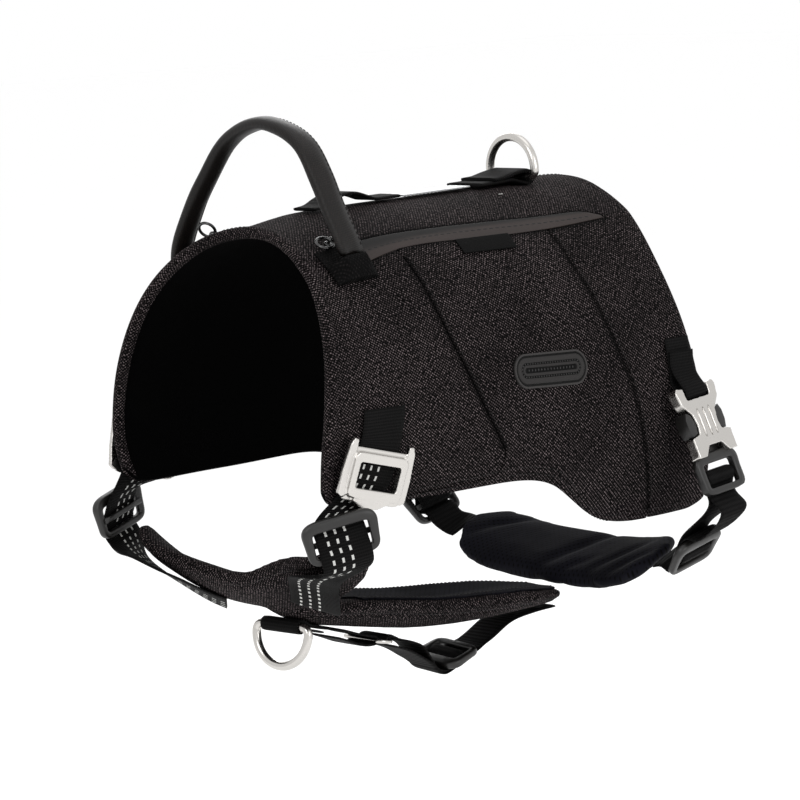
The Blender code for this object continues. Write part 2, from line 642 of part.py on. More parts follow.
def chest_ring():
    """Under the middle of the chest: a D-ring in a fold of webbing."""
    bar = np.array([0, CHEST_BAR_Y, below_tongue(CHEST_BAR_Y) - GAP - NEXT - RING_WIRE / 2 - 1.2])
    pose = Pose(bar, CHEST_RING_U, (0.02, 0.16, 0.98))
    d_ring("chest_ring", pose)
    path = [(y, below_tongue(y) - FLAT - 0.5) for y in (-102, -109, -116)]
    for turn in (60, 95, 130, 165, 200, 235, 270, 300):
        t = math.radians(turn)
        path.append((bar[1] + LOOP_RADIUS * math.cos(t), bar[2] + LOOP_RADIUS * math.sin(t)))
    path += [(y, below_tongue(y) - FLAT - 1.1 - NEXT) for y in (-114, -107)]
    strap("ring_fold", [(0.17 * (CHEST_BAR_Y - y), y, z) for y, z in path], CHEST_RING_U, WIDE - 2, WEB)


# ---------------------------------------------------------------- straps, sliders and buckles
THROUGH = (  # (down, out): webbing under a rail, over the bar and over the other rail
    (-7.9, -2.9), (-4.6, -0.9), (-1.9, 0.75), (2, 1.1), (6.2, 3.6), (11.8, 3.7), (15.5, 2),
)
FOLD = (  # (down, out): a sewn end round the bar; its inner layer comes from up the strap
    (-1.6, 0.5), (0, 0.55), (2.0, 0.35), (2.8, -1.5), (2.3, -3.6), (0, -4.1), (-4, -4.5), (-14, -4.6),
)
PASS = (  # (down, out): the strap that slides through, over that fold
    (-14, -2.75), (-7.4, -2.75), (-4.4, -0.7), (-2.9, 1.7), (0, 2.5), (2.9, 1.9), (4.4, -0.7), (7.4, -2.75),
    (14, -2.75),
)


def slider(name, pose, webbing, look=PLASTIC):
    """A ladder-lock: a frame with a lower middle bar, and wings at its ends."""
    half = webbing / 2 + 1.5
    outer = rounded(2 * half + 10, 22, 4.5, 4)
    inner = rounded(2 * half, 15, 1.5, 4)
    rings = [pose.ring(outer, -1.6), pose.ring(outer, 2.4), pose.ring(inner, 2.4), pose.ring(inner, -1.6)]
    frame = tube(name, rings, look, closed=True)
    bar = [[pose.at(a, b, c) for b, c in ((-1.6, -2.6), (1.6, -2.6), (1.6, -0.6), (-1.6, -0.6))]
           for a in (-half - 2, half + 2)]
    return join(name, [frame, tube(f"{name}_bar", bar, look)])


def along(pose, steps, way=1):
    """Rows of (x, y, z, across x, y, z) for a strap that follows (down, out) steps at a pose."""
    return [(*pose.at(0, b, c), *(way * pose.u)) for b, c in steps]


def ribbon(name, rows, width, look):
    rows = np.array(rows)
    return strap(name, rows[:, :3], rows[:, 3:], width, look)


def on_coat(sign, rows, out):
    """Rows for a strap that lies on the coat, from (degrees, y)."""
    made = []
    for degrees, y in rows:
        across = body(sign * degrees, y + 12, out) - body(sign * degrees, y - 12, out)
        made.append((*body(sign * degrees, y, out), *unit(across)))
    return made


FRONT_BUCKLE = {"L": (99.1, -137.3, -140.6), "R": (-99.6, -143, -139.5)}
FRONT_SLIDER = {"L": (96.7, -161.6, -172.6), "R": (-98.7, -165, -173)}
FRONT_SLIDER_ACROSS = {"L": (0.45, 0.87, 0.2), "R": (0.25, -0.95, -0.2)}
UNDER_BUCKLE = ((0, -7.4, -1.3), (0.5, 2, -1.8), (2, 8.5, -2.5), (5, 14.5, -3.85))  # (forward, down, out)
STRAP_ON_ARM = (  # (from the middle, across the arm, clear of it)
    (76, -12, 4.4), (66, -7, 3.2), (56, 0, 2), (47, 7, 1.6), (39, 13, 1.6), (33, 17, 1.6),
)


FRONT_BASE = (47, 31, 5)  # (across, down, corner radius) of the steel plate
FRONT_FRAME = (40, 26, 4)
FRONT_WINDOW = (31, 15, 1.5)
FRONT_LIP = ((-15, 11), (-14, 15), (-10, 17.6), (-2, 18.8), (5, 18), (12, 14.5), (14, 11))  # (across, down)
EAR = ((19, -13), (19.5, -19.5), (22.5, -20), (24.5, -16), (25.7, 0), (25.5, 12), (22.5, 14), (19, 12))
FRONT_TAB = ((88, 11.3), (91, 10.3), (94, 8.8))  # (degrees, behind the buckle): from the coat to its plate


def front_straps():
    """From each front corner: a tab to the steel buckle, then webbing through a slider to the chest arm."""
    for letter, sign in SIDES:
        pose = Pose(FRONT_BUCKLE[letter], (0, sign * 0.966, -sign * 0.259), (-sign * 0.16, -0.255, -0.953))
        base, frame, window = [rounded(*size) for size in (FRONT_BASE, FRONT_FRAME, FRONT_WINDOW)]
        steps = ((base, 0), (base, 1.6), (frame, 1.6), (frame, 4.4), (window, 4.4), (window, 0))
        rings = [pose.ring(outline, out) for outline, out in steps]
        parts = [tube(f"front_buckle_{letter}", rings, STEEL, closed=True)]
        lip = [(a * sign, b) for a, b in FRONT_LIP]
        parts.append(prism(f"front_lip_{letter}", pose, lip, 1.2, 4.2, STEEL))
        for way in (1, -1):
            ear = [(way * a, b) for a, b in EAR][::way]
            parts.append(prism(f"front_ear_{letter}{way}", pose, ear, 0, 2.6, STEEL))
        join(f"front_buckle_{letter}", parts)
        tab = on_coat(sign, [(degrees, pose.centre[1] + back) for degrees, back in FRONT_TAB], FLAT + GAP)
        tab += along(pose, ((-14.5, -1.3), (-8.4, -1.3)), sign)
        ribbon(f"front_tab_{letter}", tab, WIDE, WEB)
        hang = Pose(FRONT_SLIDER[letter], FRONT_SLIDER_ACROSS[letter], (-sign * 0.05, 0.1, -0.99))
        slider(f"front_slider_{letter}", hang, WIDE)
        path = [(*pose.at(-sign * a, b, c), *(sign * pose.u)) for a, b, c in UNDER_BUCKLE]
        path += along(hang, THROUGH, sign)
        tail = [on_arm(sign * x, aside, FLAT + lift) for x, aside, lift in STRAP_ON_ARM]
        spots = np.array([spot for spot, _ in tail])
        for spot, way, (_, out) in zip(spots, unit(np.gradient(spots, axis=0)), tail):
            path.append((*spot, *(sign * unit(np.cross(out, way)))))
        ribbon(f"front_strap_{letter}", path, WIDE - 3, WEB)


REAR_BUCKLE = {"L": (118, 108, -141.7), "R": (-118, 101, -139)}
BELLY_SLIDER = {"L": (111, 106, -221), "R": (-113, 100, -208)}
SHELL_OUTLINE = (  # half of the rear buckle's steel shell: (across, down)
    (10.8, -14), (11.4, -21.5), (17, -22.5), (19, -20), (17.4, -12), (11, -5), (9.6, 2), (10.6, 7.5),
    (18.3, 9), (18.3, 21.5), (11, 21.5), (6, 15.5),
)
PRONG = ((12.6, -5.6), (15.6, -7), (17.4, -3), (17.4, 3), (15.8, 7.9), (11.2, 6.6), (10.2, 2), (10.9, -2.5))
BAR = (-20.5, -17, 2, 5.5)  # down from, down to, out from, out to
LOCK_DOWN = 33.0  # from the rear buckle's middle to its ladder-lock's


def mirrored(half):
    return list(half) + [(-a, b) for a, b in reversed(half)]


def prism(name, pose, outline, low, high, look):
    """A flat piece with this outline between two heights over a pose."""
    points = pose.ring(outline, low) + pose.ring(outline, high)
    n = len(outline)
    faces = [tuple(range(n - 1, -1, -1)), tuple(range(n, 2 * n))]
    faces += [(k, (k + 1) % n, (k + 1) % n + n, k + n) for k in range(n)]
    return add(name, points, faces, look, smooth=False)


PLATE = ((-13, -7), (13, -7), (13, 24.5), (-13, 24.5))  # behind the shell: (across, down)
REAR_TAB_DOWN = ((79, 5), (83, 4.5), (87, 3.5), (90, 2.5))  # (degrees, before the buckle)
REAR_TAB_BACK = (86.5, 82.5)  # degrees of its upper layer, 4 mm before the buckle
REAR_TAB_FOLD = (  # (down, out) round the shell's bar
    (-22, 0.8), (-17, 0.8), (-15.3, 2), (-15.2, 4.9), (-16.4, 6.8), (-21, 6.9), (-24.5, 5.6),
)
LOCK_PASS = (  # (down, out): up behind the ladder-lock, round its bar and down again over its lower rail
    (14, -4.6), (6, -4.6), (0, -4.3), (-2.7, -3.6), (-3.3, -1.6), (-2.2, 0.5), (0, 1.4), (2.9, 1.3),
    (4.4, -0.7), (7.4, -2.75), (13, -2.75),
)


def rear_straps():
    """From each rear corner: a tab, a steel side-release shell, its plastic half and the belly strap."""
    for letter, sign in SIDES:
        pose = Pose(REAR_BUCKLE[letter], (-0.09, sign * 0.995, sign * 0.067), (sign * 0.342, 0.093, -0.935))
        shell = prism(f"rear_buckle_{letter}", pose, mirrored(SHELL_OUTLINE), 0, 7.5, STEEL)
        from_down, to_down, from_out, to_out = BAR
        corners = ((from_down, from_out), (to_down, from_out), (to_down, to_out), (from_down, to_out))
        bar = [[pose.at(a, b, c) for b, c in corners] for a in (-15, 15)]
        join(f"rear_buckle_{letter}", [shell, tube(f"rear_buckle_bar_{letter}", bar, STEEL)])
        y = pose.centre[1]
        tab = on_coat(sign, [(degrees, y - before) for degrees, before in REAR_TAB_DOWN], FLAT + 0.2)
        tab += along(pose, REAR_TAB_FOLD, sign)
        tab += on_coat(sign, [(degrees, y - 4) for degrees in REAR_TAB_BACK], FLAT + 0.2 + NEXT)
        ribbon(f"rear_tab_{letter}", tab, 20, WEB)
        # The plastic half: a plate behind the shell, two prongs in its waist, and a ladder-lock below.
        low = Pose(pose.at(0, LOCK_DOWN, 1.0), pose.u, pose.v)
        lock = [slider(f"rear_lock_{letter}", low, NARROW)]
        lock.append(prism(f"lock_plate_{letter}", pose, PLATE, -2.3, -0.35, PLASTIC))
        for way in (1, -1):
            prong = [(way * a, b) for a, b in PRONG][::way]
            lock.append(prism(f"prong_{letter}{way}", pose, prong, -2.3, 6.3, PLASTIC))
        join(f"rear_lock_{letter}", lock)
        hang = Pose(BELLY_SLIDER[letter], (0, sign * 0.978, sign * 0.207), (-sign * 0.6, 0, -0.8))
        slider(f"belly_slider_{letter}", hang, NARROW)
        path = along(hang, FOLD, sign) + along(low, LOCK_PASS, sign)
        path += [(*low.at(0, 22, 1.5), *(sign * low.u)), (*hang.at(0, -23, 7), *(sign * hang.u))]
        path += along(hang, PASS, sign)
        for step in ((0, 0, 0), (-sign * 6, 0, -1)):
            path.append((*(BELLY_END[letter] + np.array(step)), *BELLY_ACROSS))
        ribbon(f"belly_strap_{letter}", path, NARROW, WEB)


BELLY = (  # (x, y, z of its middle, half width, half thickness)
    (-90, 112, -218, 8, 2.5), (-85, 113, -221.5, 19, 4.5), (-71, 114, -228, 27, 6.5), (-40, 115, -234, 28, 7),
    (0, 114, -236, 28, 7), (40, 112, -235, 28, 7), (66, 109, -230, 26, 6.5), (78, 107, -225, 20, 5),
    (84, 106, -222, 9, 2.5),
)
BELLY_ACROSS = (0, 0.93, 0.37)
BELLY_END = {"L": np.array([94, 106, -225.0]), "R": np.array([-98, 108, -222.0])}


def belly_pad():
    """A padded band under the belly, perforated lining inside."""
    rows = spline(BELLY, 17)
    sweep("belly_pad", rows[:, :3], BELLY_ACROSS, [oval(w, t) for w, t in rows[:, 3:]], MESH_CLOTH)


# ---------------------------------------------------------------- under the chest
KEEPER_FRONT, KEEPER_REAR = (-67.0, -256.5), (-56.0, -258.5)  # (y, z) of the steel loop's long sides
KEEPER_WIRE = 1.5
CHEST_SLIDER = (0, 2, -277.5)
CHEST_TAB_OVER = ((-96, 0.2), (-88, 1), (-79, 3))  # (y, more below the pad than lying on it)
CHEST_TAB_UNDER = ((-76, -258.3), (-86, -253.5), (-95, -250))  # (y, z) of its lower layer
STRAP_TO_KEEPER = ((-30, -265.5), (-46, -259.5))  # (y, z), then round the loop's rear side and back
STRAP_FROM_KEEPER = ((-48, -263.8), (-38, -268), (-24, -276.5))
STRAP_TO_BELLY = ((28, -272), (46, -264), (66, -261.5), (84, -261))


def under_chest():
    """A tab and a steel loop under the chest pad, and the strap from it through a slider to the belly."""
    run = np.subtract(KEEPER_REAR, KEEPER_FRONT)
    frame = Pose((0, *np.add(KEEPER_FRONT, run / 2)), (1, 0, 0), (0, *unit(run)))
    outline = rounded(34, np.linalg.norm(run), 4.5, 4)
    sweep("keeper", [frame.at(a, b) for a, b in outline], frame.n, circle(KEEPER_WIRE, 6), STEEL, closed=True)
    reach = KEEPER_WIRE + GAP + WEBBING / 2

    def around(centre, turns):
        angles = [math.radians(turn) for turn in turns]
        return [(centre[0] + reach * math.cos(t), centre[1] + reach * math.sin(t)) for t in angles]

    def level(rows):
        return [(0, y, z, -1, 0, 0) for y, z in rows]

    tab = [(y, below_tongue(y) - FLAT - extra) for y, extra in CHEST_TAB_OVER]
    tab += around(KEEPER_FRONT, (95, 50, 5, -40, -85)) + list(CHEST_TAB_UNDER)
    strap("chest_tab", [(0, y, z) for y, z in tab], (1, 0, 0), NARROW, WEB)
    pose = Pose(CHEST_SLIDER, (-1, 0, 0.07), (0, 0.956, 0.29))
    slider("chest_slider", pose, NARROW)
    path = along(pose, FOLD) + level(STRAP_TO_KEEPER)
    path += level(around(KEEPER_REAR, (85, 130, 175, 220, 265))) + level(STRAP_FROM_KEEPER)
    path += along(pose, PASS) + level(STRAP_TO_BELLY)
    ribbon("chest_strap", path, NARROW, WEB)


coat()
front_binding()
pocket_trim()
spine_parts()
handle()
zip_pulls()
chest_piece()
chest_ring()
front_straps()
rear_straps()
belly_pad()
under_chest()
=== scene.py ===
"""The looks of a dog harness in its worn form: coat, handle, straps, steel buckles and two padded pieces.

It follows the order in which the real one is put together. Lengths in the tables are millimetres.
"""

import json
import math

import bmesh
import bpy
import numpy as np
from mathutils import Matrix, Vector, noise
from mathutils.bvhtree import BVHTree


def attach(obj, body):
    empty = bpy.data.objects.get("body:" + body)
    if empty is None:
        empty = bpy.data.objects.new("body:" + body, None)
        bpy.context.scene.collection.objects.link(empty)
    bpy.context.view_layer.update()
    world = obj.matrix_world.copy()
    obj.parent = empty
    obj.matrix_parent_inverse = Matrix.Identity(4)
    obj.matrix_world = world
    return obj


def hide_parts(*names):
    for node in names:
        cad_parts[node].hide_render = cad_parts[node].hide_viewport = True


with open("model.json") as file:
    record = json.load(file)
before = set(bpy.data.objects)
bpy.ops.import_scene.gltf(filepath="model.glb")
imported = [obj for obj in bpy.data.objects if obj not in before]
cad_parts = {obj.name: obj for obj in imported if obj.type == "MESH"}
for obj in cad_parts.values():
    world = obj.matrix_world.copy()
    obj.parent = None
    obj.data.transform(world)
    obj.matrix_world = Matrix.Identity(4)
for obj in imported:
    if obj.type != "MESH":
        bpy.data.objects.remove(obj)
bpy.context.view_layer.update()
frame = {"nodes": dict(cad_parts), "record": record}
MM = 0.001


# ---------------------------------------------------------------- the studio
# A pale floor well under the harness and a white room, with broad soft boxes as for a shop picture.
# The camera stands at the dog's front left, a little above its back, with a long lens.
FLOOR_Z, FLOOR_HALF = -0.52, 12.0
AZIMUTH, ELEVATION, ROLL = 48.0, 7.6, 3.1  # degrees
CAMERA_PLACE = (1.62035613, -1.4843325, 0.17282295)
FOCAL_LENGTHS_A_FRAME = 3670 / 800  # focal length over the frame's width
SENSOR = 36.0
PAPER = "#ffffff"
LAMPS = (  # (name, place, size, watts), in metres: key above the left shoulder, fill, top, edge light behind
    ("key", (0.7, -1.7, 1.1), 1.1, 10), ("fill", (1.8, 0.0, 0.4), 1.2, 9),
    ("top", (0.1, 0.1, 1.6), 1.4, 4), ("edge", (-1.1, 0.9, 0.7), 0.8, 5),
)
LAMPS_AIM = Vector((0, 0, -0.1))


def linear(colour):
    """An sRGB hex colour as linear red, green, blue and alpha."""
    parts = [int(colour[k:k + 2], 16) / 255 for k in (1, 3, 5)]
    return (*[c / 12.92 if c <= 0.04045 else ((c + 0.055) / 1.055) ** 2.4 for c in parts], 1.0)


def put(tree, kind, inputs=None, **settings):
    """Adds a node with its settings, its input values and its links."""
    made = tree.nodes.new(kind)
    for name, value in settings.items():
        setattr(made, name, value)
    for socket, value in (inputs or {}).items():
        if isinstance(value, bpy.types.NodeSocket):
            tree.links.new(value, made.inputs[socket])
        else:
            made.inputs[socket].default_value = value
    return made


def finish(name, slot="", **sockets):
    """A new material, marked with its slot: the material, its tree and its Principled shader."""
    look = bpy.data.materials.new(name)
    look.use_nodes = True
    if slot:
        look["slot"] = slot
    tree = look.node_tree
    shader = tree.nodes["Principled BSDF"]
    for socket, value in sockets.items():
        shader.inputs[socket.replace("_", " ")].default_value = value
    return look, tree, shader


def added(name, data):
    """A new object in the scene."""
    thing = bpy.data.objects.new(name, data)
    bpy.context.collection.objects.link(thing)
    return thing


def studio():
    """The floor, the camera, the lamps and the white room."""
    paper, _, _ = finish("matt paper", Base_Color=linear(PAPER), Roughness=0.9)
    corners = [(FLOOR_HALF * x, FLOOR_HALF * y, FLOOR_Z) for x, y in ((-1, -1), (1, -1), (1, 1), (-1, 1))]
    mesh = bpy.data.meshes.new("paper_floor")
    mesh.from_pydata(corners, [], [(0, 1, 2, 3)])
    mesh.materials.append(paper)
    added("paper_floor", mesh)

    azimuth, elevation, roll = map(math.radians, (AZIMUTH, ELEVATION, ROLL))
    back = Vector((math.sin(azimuth) * math.cos(elevation), -math.cos(azimuth) * math.cos(elevation),
                   math.sin(elevation)))
    right = Vector((math.cos(azimuth), math.sin(azimuth), 0))
    up = back.cross(right)
    right, up = (math.cos(roll) * right - math.sin(roll) * up, math.sin(roll) * right + math.cos(roll) * up)
    lens = bpy.data.cameras.new("camera")
    lens.sensor_width = SENSOR
    lens.lens = SENSOR * FOCAL_LENGTHS_A_FRAME
    camera = added("camera", lens)
    camera.matrix_world = Matrix((right, up, back)).transposed().to_4x4()
    camera.location = CAMERA_PLACE
    bpy.context.scene.camera = camera

    for name, place, size, watts in LAMPS:
        lamp = bpy.data.lights.new(name, "AREA")
        lamp.shape = "DISK"
        lamp.size = size
        lamp.energy = watts
        light = added(name, lamp)
        light.location = place
        light.rotation_euler = (LAMPS_AIM - light.location).to_track_quat("-Z", "Y").to_euler()
    world = bpy.data.worlds.new("studio")
    bpy.context.scene.world = world
    world.use_nodes = True
    background = world.node_tree.nodes["Background"]
    background.inputs["Color"].default_value = linear(PAPER)
    background.inputs["Strength"].default_value = 1.0
    bpy.context.scene.view_settings.view_transform = "Standard"


studio()


# ---------------------------------------------------------------- the coat's outer panels
# Coarse high-tenacity nylon, plain woven of thick air-textured yarn, so it is matt, with small glints that
# are painted highlight on the threads' crowns. One shell panel and a gusset pocket on each side, sewn edge
# to edge with the edges turned in.
# The dark is painted shade between the threads, the light is painted highlight on their crowns.
NYLON_DARK, NYLON_LIGHT = "#010101", "#766b6c"
NYLON_THREAD = 1.5 * MM  # drawn about twice as coarse as the real yarn, which is too fine to show
PANEL_ROUND = 0.8  # how far a panel's edge rolls into its seam
COAT_AXIS_Z, COAT_RADIUS = -0.110, 0.105
CREASES = (  # (side, degrees, y, degrees, y, depth, width): soft troughs in the panels
    (1, 52, -108, 66, -132, 0.9, 9), (1, 47, -104, 58, -92, 0.7, 7), (1, 96, -128, 108, -112, 0.8, 9),
    (1, 104, -60, 90, -70, 0.7, 8), (1, 60, -30, 74, -6, 0.5, 9), (1, 100, 22, 116, 40, 0.8, 9),
    (1, 72, 92, 84, 78, 0.7, 8), (1, 108, 110, 96, 98, 0.8, 10), (1, 62, 58, 52, 44, 0.6, 8),
    (-1, 50, -110, 63, -128, 0.9, 9), (-1, 92, -120, 104, -104, 0.8, 9), (-1, 58, -22, 70, -2, 0.6, 9),
    (-1, 98, 30, 112, 48, 0.8, 9), (-1, 74, 90, 88, 80, 0.7, 8), (-1, 100, 112, 90, 96, 0.8, 10),
)


def refined(name, node, levels, round_mm, sharp=40, dissolve=False):
    """A finer copy of a CAD node: its triangles merged, its edges rounded and its faces subdivided."""
    work = bmesh.new()
    work.from_mesh(frame["nodes"][node].data)
    bmesh.ops.remove_doubles(work, verts=work.verts, dist=0.02 * MM)
    if dissolve:
        bmesh.ops.dissolve_limit(work, angle_limit=math.radians(0.6), verts=work.verts, edges=work.edges)
    else:
        bmesh.ops.join_triangles(work, faces=work.faces, angle_face_threshold=math.radians(30),
                                 angle_shape_threshold=math.radians(70))
    mesh = bpy.data.meshes.new(name)
    work.to_mesh(mesh)
    work.free()
    piece = added(name, mesh)
    if round_mm:
        bevel = piece.modifiers.new("rounded edges", "BEVEL")
        bevel.width = round_mm * MM
        bevel.segments = {0: 3, 3: 1}.get(levels, 2)
        bevel.limit_method = "ANGLE"
        bevel.angle_limit = math.radians(sharp)
        bevel.use_clamp_overlap = True
    if levels:
        finer = piece.modifiers.new("finer", "SUBSURF")
        finer.levels = finer.render_levels = levels
    return baked(piece)


def baked(piece):
    """The piece with its modifiers applied."""
    bpy.context.view_layer.update()
    graph = bpy.context.evaluated_depsgraph_get()
    mesh = bpy.data.meshes.new_from_object(piece.evaluated_get(graph))
    piece.modifiers.clear()
    old, piece.data = piece.data, mesh
    mesh.name = piece.name
    bpy.data.meshes.remove(old)
    mesh.shade_smooth()
    return piece


def vertex_rows(mesh, kind="co"):
    """The places or the normals of a mesh's vertices, one to a row."""
    rows = np.empty(len(mesh.vertices) * 3)
    mesh.vertices.foreach_get(kind, rows)
    return rows.reshape(-1, 3)


def corners_of(mesh):
    """The vertex at each corner of each face."""
    corners = np.empty(len(mesh.loops), int)
    mesh.loops.foreach_get("vertex_index", corners)
    return corners


def lay_cloth(piece, laid):
    """Keeps the piece's cloth map, in metres, from (across, along) at each corner of its faces."""
    layer = piece.data.uv_layers.get("cloth") or piece.data.uv_layers.new(name="cloth")
    layer.data.foreach_set("uv", laid.astype(np.float32).ravel())


def map_cloth(piece, rule):
    """Lays the cloth map by a rule from places to (across, along)."""
    lay_cloth(piece, np.stack(rule(vertex_rows(piece.data)), 1)[corners_of(piece.data)])


def round_the_coat(places):
    """Cloth map of the coat: round the dog, and along its spine."""
    x, y, z = places.T
    return np.arctan2(x, z - COAT_AXIS_Z) * COAT_RADIUS, y


def shade_seams(piece, shade):
    """Keeps the painted shade at each point: 1 on the open cloth and 0 in a seam's painted shadow."""
    layer = piece.data.attributes.new("seam", "FLOAT", "POINT")
    layer.data.foreach_set("value", np.asarray(shade, np.float32))


def dress(piece, look, node=None):
    """Gives a piece its finish and its slot, and puts it on the body of the CAD node it stands for."""
    piece.data.materials.clear()
    piece.data.materials.append(look)
    bodies = frame["record"]["behaviour"]["bodies"]
    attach(piece, next((body for body, members in bodies.items() if node in members), "harness"))
    if node:
        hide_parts(node)
    return piece


def source(tree, what):
    """What a texture follows: the cloth map, the place on the object, or the seam attribute of painted
    shade.
    """
    kind, settings, socket = {
        "cloth": ("ShaderNodeUVMap", {"uv_map": "cloth"}, "UV"),
        "place": ("ShaderNodeTexCoord", {}, "Object"),
        "seam": ("ShaderNodeAttribute", {"attribute_name": "seam"}, "Fac"),
    }[what]
    return put(tree, kind, **settings).outputs[socket]


def maths(tree, how, a, b=0.0, **settings):
    """The result of a math node."""
    return put(tree, "ShaderNodeMath", {0: a, 1: b}, operation=how, **settings).outputs[0]


def cloud(tree, at, scale, detail=2.0):
    """The value of a noise texture; on places and cloth maps its scale is in lumps a metre."""
    return put(tree, "ShaderNodeTexNoise", {"Vector": at, "Scale": scale, "Detail": detail}).outputs["Fac"]


def ranged(tree, value, low, high, to_low=0.0, to_high=1.0):
    """A value that runs from low to high, made to run between two others."""
    return put(tree, "ShaderNodeMapRange", {"Value": value, "From Min": low, "From Max": high,
                                            "To Min": to_low, "To Max": to_high}).outputs[0]


def between(tree, share, dark, light):
    """A mix of two colours, each an sRGB hex or a socket."""
    dark, light = (linear(end) if isinstance(end, str) else end for end in (dark, light))
    return put(tree, "ShaderNodeMix", {0: share, 6: dark, 7: light}, data_type="RGBA").outputs[2]


def wire(tree, shader, colour, height, deep, strength=1.0, rough=None):
    """Joins a colour, a bump so many millimetres deep and a roughness to a shader; None leaves one out."""
    bump = put(tree, "ShaderNodeBump", {"Height": height, "Distance": deep * MM, "Strength": strength})
    for value, socket in ((colour, "Base Color"), (bump.outputs["Normal"], "Normal"), (rough, "Roughness")):
        if value is not None:
            tree.links.new(value, shader.inputs[socket])


def woven(name, slot, dark, light, thread, roughness, relief=0.3, turn=38.0, patches=0.35, shine=0.06,
          painted_shade=False):
    """Woven cloth on its cloth map: painted highlight on the threads' crowns, painted shade between them,
    unevenly worn.
    """
    look, tree, shader = finish(name, slot, Roughness=roughness, Specular_IOR_Level=shine)
    threads = put(tree, "ShaderNodeMapping", {"Vector": source(tree, "cloth"), "Scale": (1 / thread,) * 3,
                                              "Rotation": (0, 0, math.radians(turn))}).outputs["Vector"]
    one_wave = 2 * math.pi / 20  # the Wave texture's scale for one wave a unit
    warp, weft = (put(tree, "ShaderNodeTexWave", {"Vector": threads, "Scale": one_wave, "Distortion": 1.1,
                                                  "Detail": 1.0, "Detail Scale": 0.9},
                      bands_direction=way).outputs["Fac"] for way in ("X", "Y"))
    height = maths(tree, "ADD", maths(tree, "MULTIPLY", warp, weft), maths(tree, "MULTIPLY", warp, 0.35))
    worn = cloud(tree, source(tree, "place"), 16.0, 5.0)
    worn = ranged(tree, worn, 0.3, 0.7, 1 - patches, 1 + patches)
    glint_speckle = ranged(tree, cloud(tree, threads, 1.1), 0.32, 0.68)
    # Painted light: the threads' crowns lit and the gaps between them shaded, broken into speckled glints
    # and worn patches.
    share = maths(tree, "MULTIPLY", maths(tree, "MULTIPLY", height, worn), glint_speckle)
    share = maths(tree, "POWER", share, 2.0)
    if painted_shade:
        # Painted shade: the weave darkened along seams and edges by the seam attribute.
        share = maths(tree, "MULTIPLY", share, source(tree, "seam"))
    wire(tree, shader, between(tree, share, dark, light), height, relief, 0.8)
    return look


nylon = woven("coarse nylon", "nylon_shell", NYLON_DARK, NYLON_LIGHT, NYLON_THREAD, 0.85, patches=0.2,
              shine=0.04, painted_shade=True)

# The lines of the coat, which its seams and its stitching follow, and its section.
RIDGE = (  # (y, height of the coat's outer face on the ridge)
    (-175, -4), (-133, -4), (-124, -2.8), (-112, -1.7), (-99, 0.7), (-80, 2.8), (-50, 3.5), (0, 4),
    (50, 4.8), (75, 6.2), (96, 7.4), (120, 6.8), (150, 5),
)
FRONT_SEAM = (  # (degrees down from the ridge, y)
    (43, -78), (53.7, -76), (70.6, -70), (87.5, -54.5), (97.1, -41), (101, -36),
)
REAR_SEAM = ((40, 38), (55.8, 41), (67.3, 47), (81, 57), (91.3, 67), (104.8, 76), (126, 91))
FRONT_EDGE = (
    (0, -133), (23.7, -141.5), (35.8, -145.3), (44.9, -148.4), (52.7, -151.9), (65.9, -157.1),
    (77.4, -161.6), (87.5, -165.6), (96.3, -168.8), (101.5, -169.1), (109, -168.1),
)
REAR_EDGE = (
    (0, 119), (21.6, 112.5), (37, 109.5), (56.5, 107), (71.6, 112), (86.4, 119.5), (94.4, 124),
    (105.7, 132), (122, 139.5),
)
HEM = (  # (y, degrees)
    (-159, 115.6), (-140, 116.9), (-70, 113.6), (-4, 111.2), (8, 112.6), (24, 118.6), (36, 124.5),
    (52, 129), (80, 129.3), (130, 129.5),
)
RIGHT_HEM_RISE = ((-175, 0), (-150, 0.8), (-125, 1.6), (0, 1.6), (14, 2.2), (32, 4), (50, 5), (160, 5))
BINDING_WIDTH, HEM_ROWS = 5.0, (3.4, 7.6)  # how far in the rows lie
MM_PER_DEGREE = 2.05
ZIP_TOP = ((-106, 30.1), (-70, 30.1), (-9, 30.4), (55, 32), (74, 32.9), (84, 35.8))  # (y, degrees)
ZIP_BOTTOM = ((-112, 41.6), (-78, 37.8), (-48, 37.1), (-18, 37.9), (30, 37.9), (83, 37.4))
SEAM_SHADOW, SEAM_SHADOW_WIDE = 0.97, 2.3  # how dark, and how wide in mm
SECTION_FRONT, SECTION_GROWTH = (97, -108), (11, -10)  # (half width, height where widest), and their growth
GROWTH_FROM, GROWTH_OVER = -150, 230  # the y where the growth starts, and its length
SECTION_POWER = 2 / 2.2  # of the superellipse's sine and cosine
OUTER_FROM, OUTER_OVER = 0.55, 0.35  # how squarely skin has to look outward to be creased
COAT_WAVES = ((28, 1.0), (75, 0.6))  # (turns a metre, share)
WAVE_DEEP, SINK_MOST = 0.34, 1.25


def curve(table, at):
    """The second column at a value of the first, on a smooth curve through the table's rows."""
    x, y = np.array(table, float).T
    slope = np.gradient(y, x)
    k = np.clip(np.searchsorted(x, at) - 1, 0, len(x) - 2)
    h = x[k + 1] - x[k]
    t = np.clip((at - x[k]) / h, 0, 1)
    return ((1 + 2 * t) * (1 - t) ** 2 * y[k] + t * t * (3 - 2 * t) * y[k + 1]
            + t * (1 - t) ** 2 * h * slope[k] - t * t * (1 - t) * h * slope[k + 1])


def skin(degrees, y):
    """A point near the coat's outer face: degrees down from the ridge, + on the dog's left."""
    share = min(max((y - GROWTH_FROM) / GROWTH_OVER, 0), 1)
    share *= share * (3 - 2 * share)
    half, widest = (front + grows * share for front, grows in zip(SECTION_FRONT, SECTION_GROWTH))
    sine, cosine = math.sin(math.radians(degrees)), math.cos(math.radians(degrees))
    across = half * math.copysign(abs(sine) ** SECTION_POWER, sine)
    up = widest + (float(curve(RIDGE, y)) - widest) * math.copysign(abs(cosine) ** SECTION_POWER, cosine)
    return Vector((across, y, up)) * MM


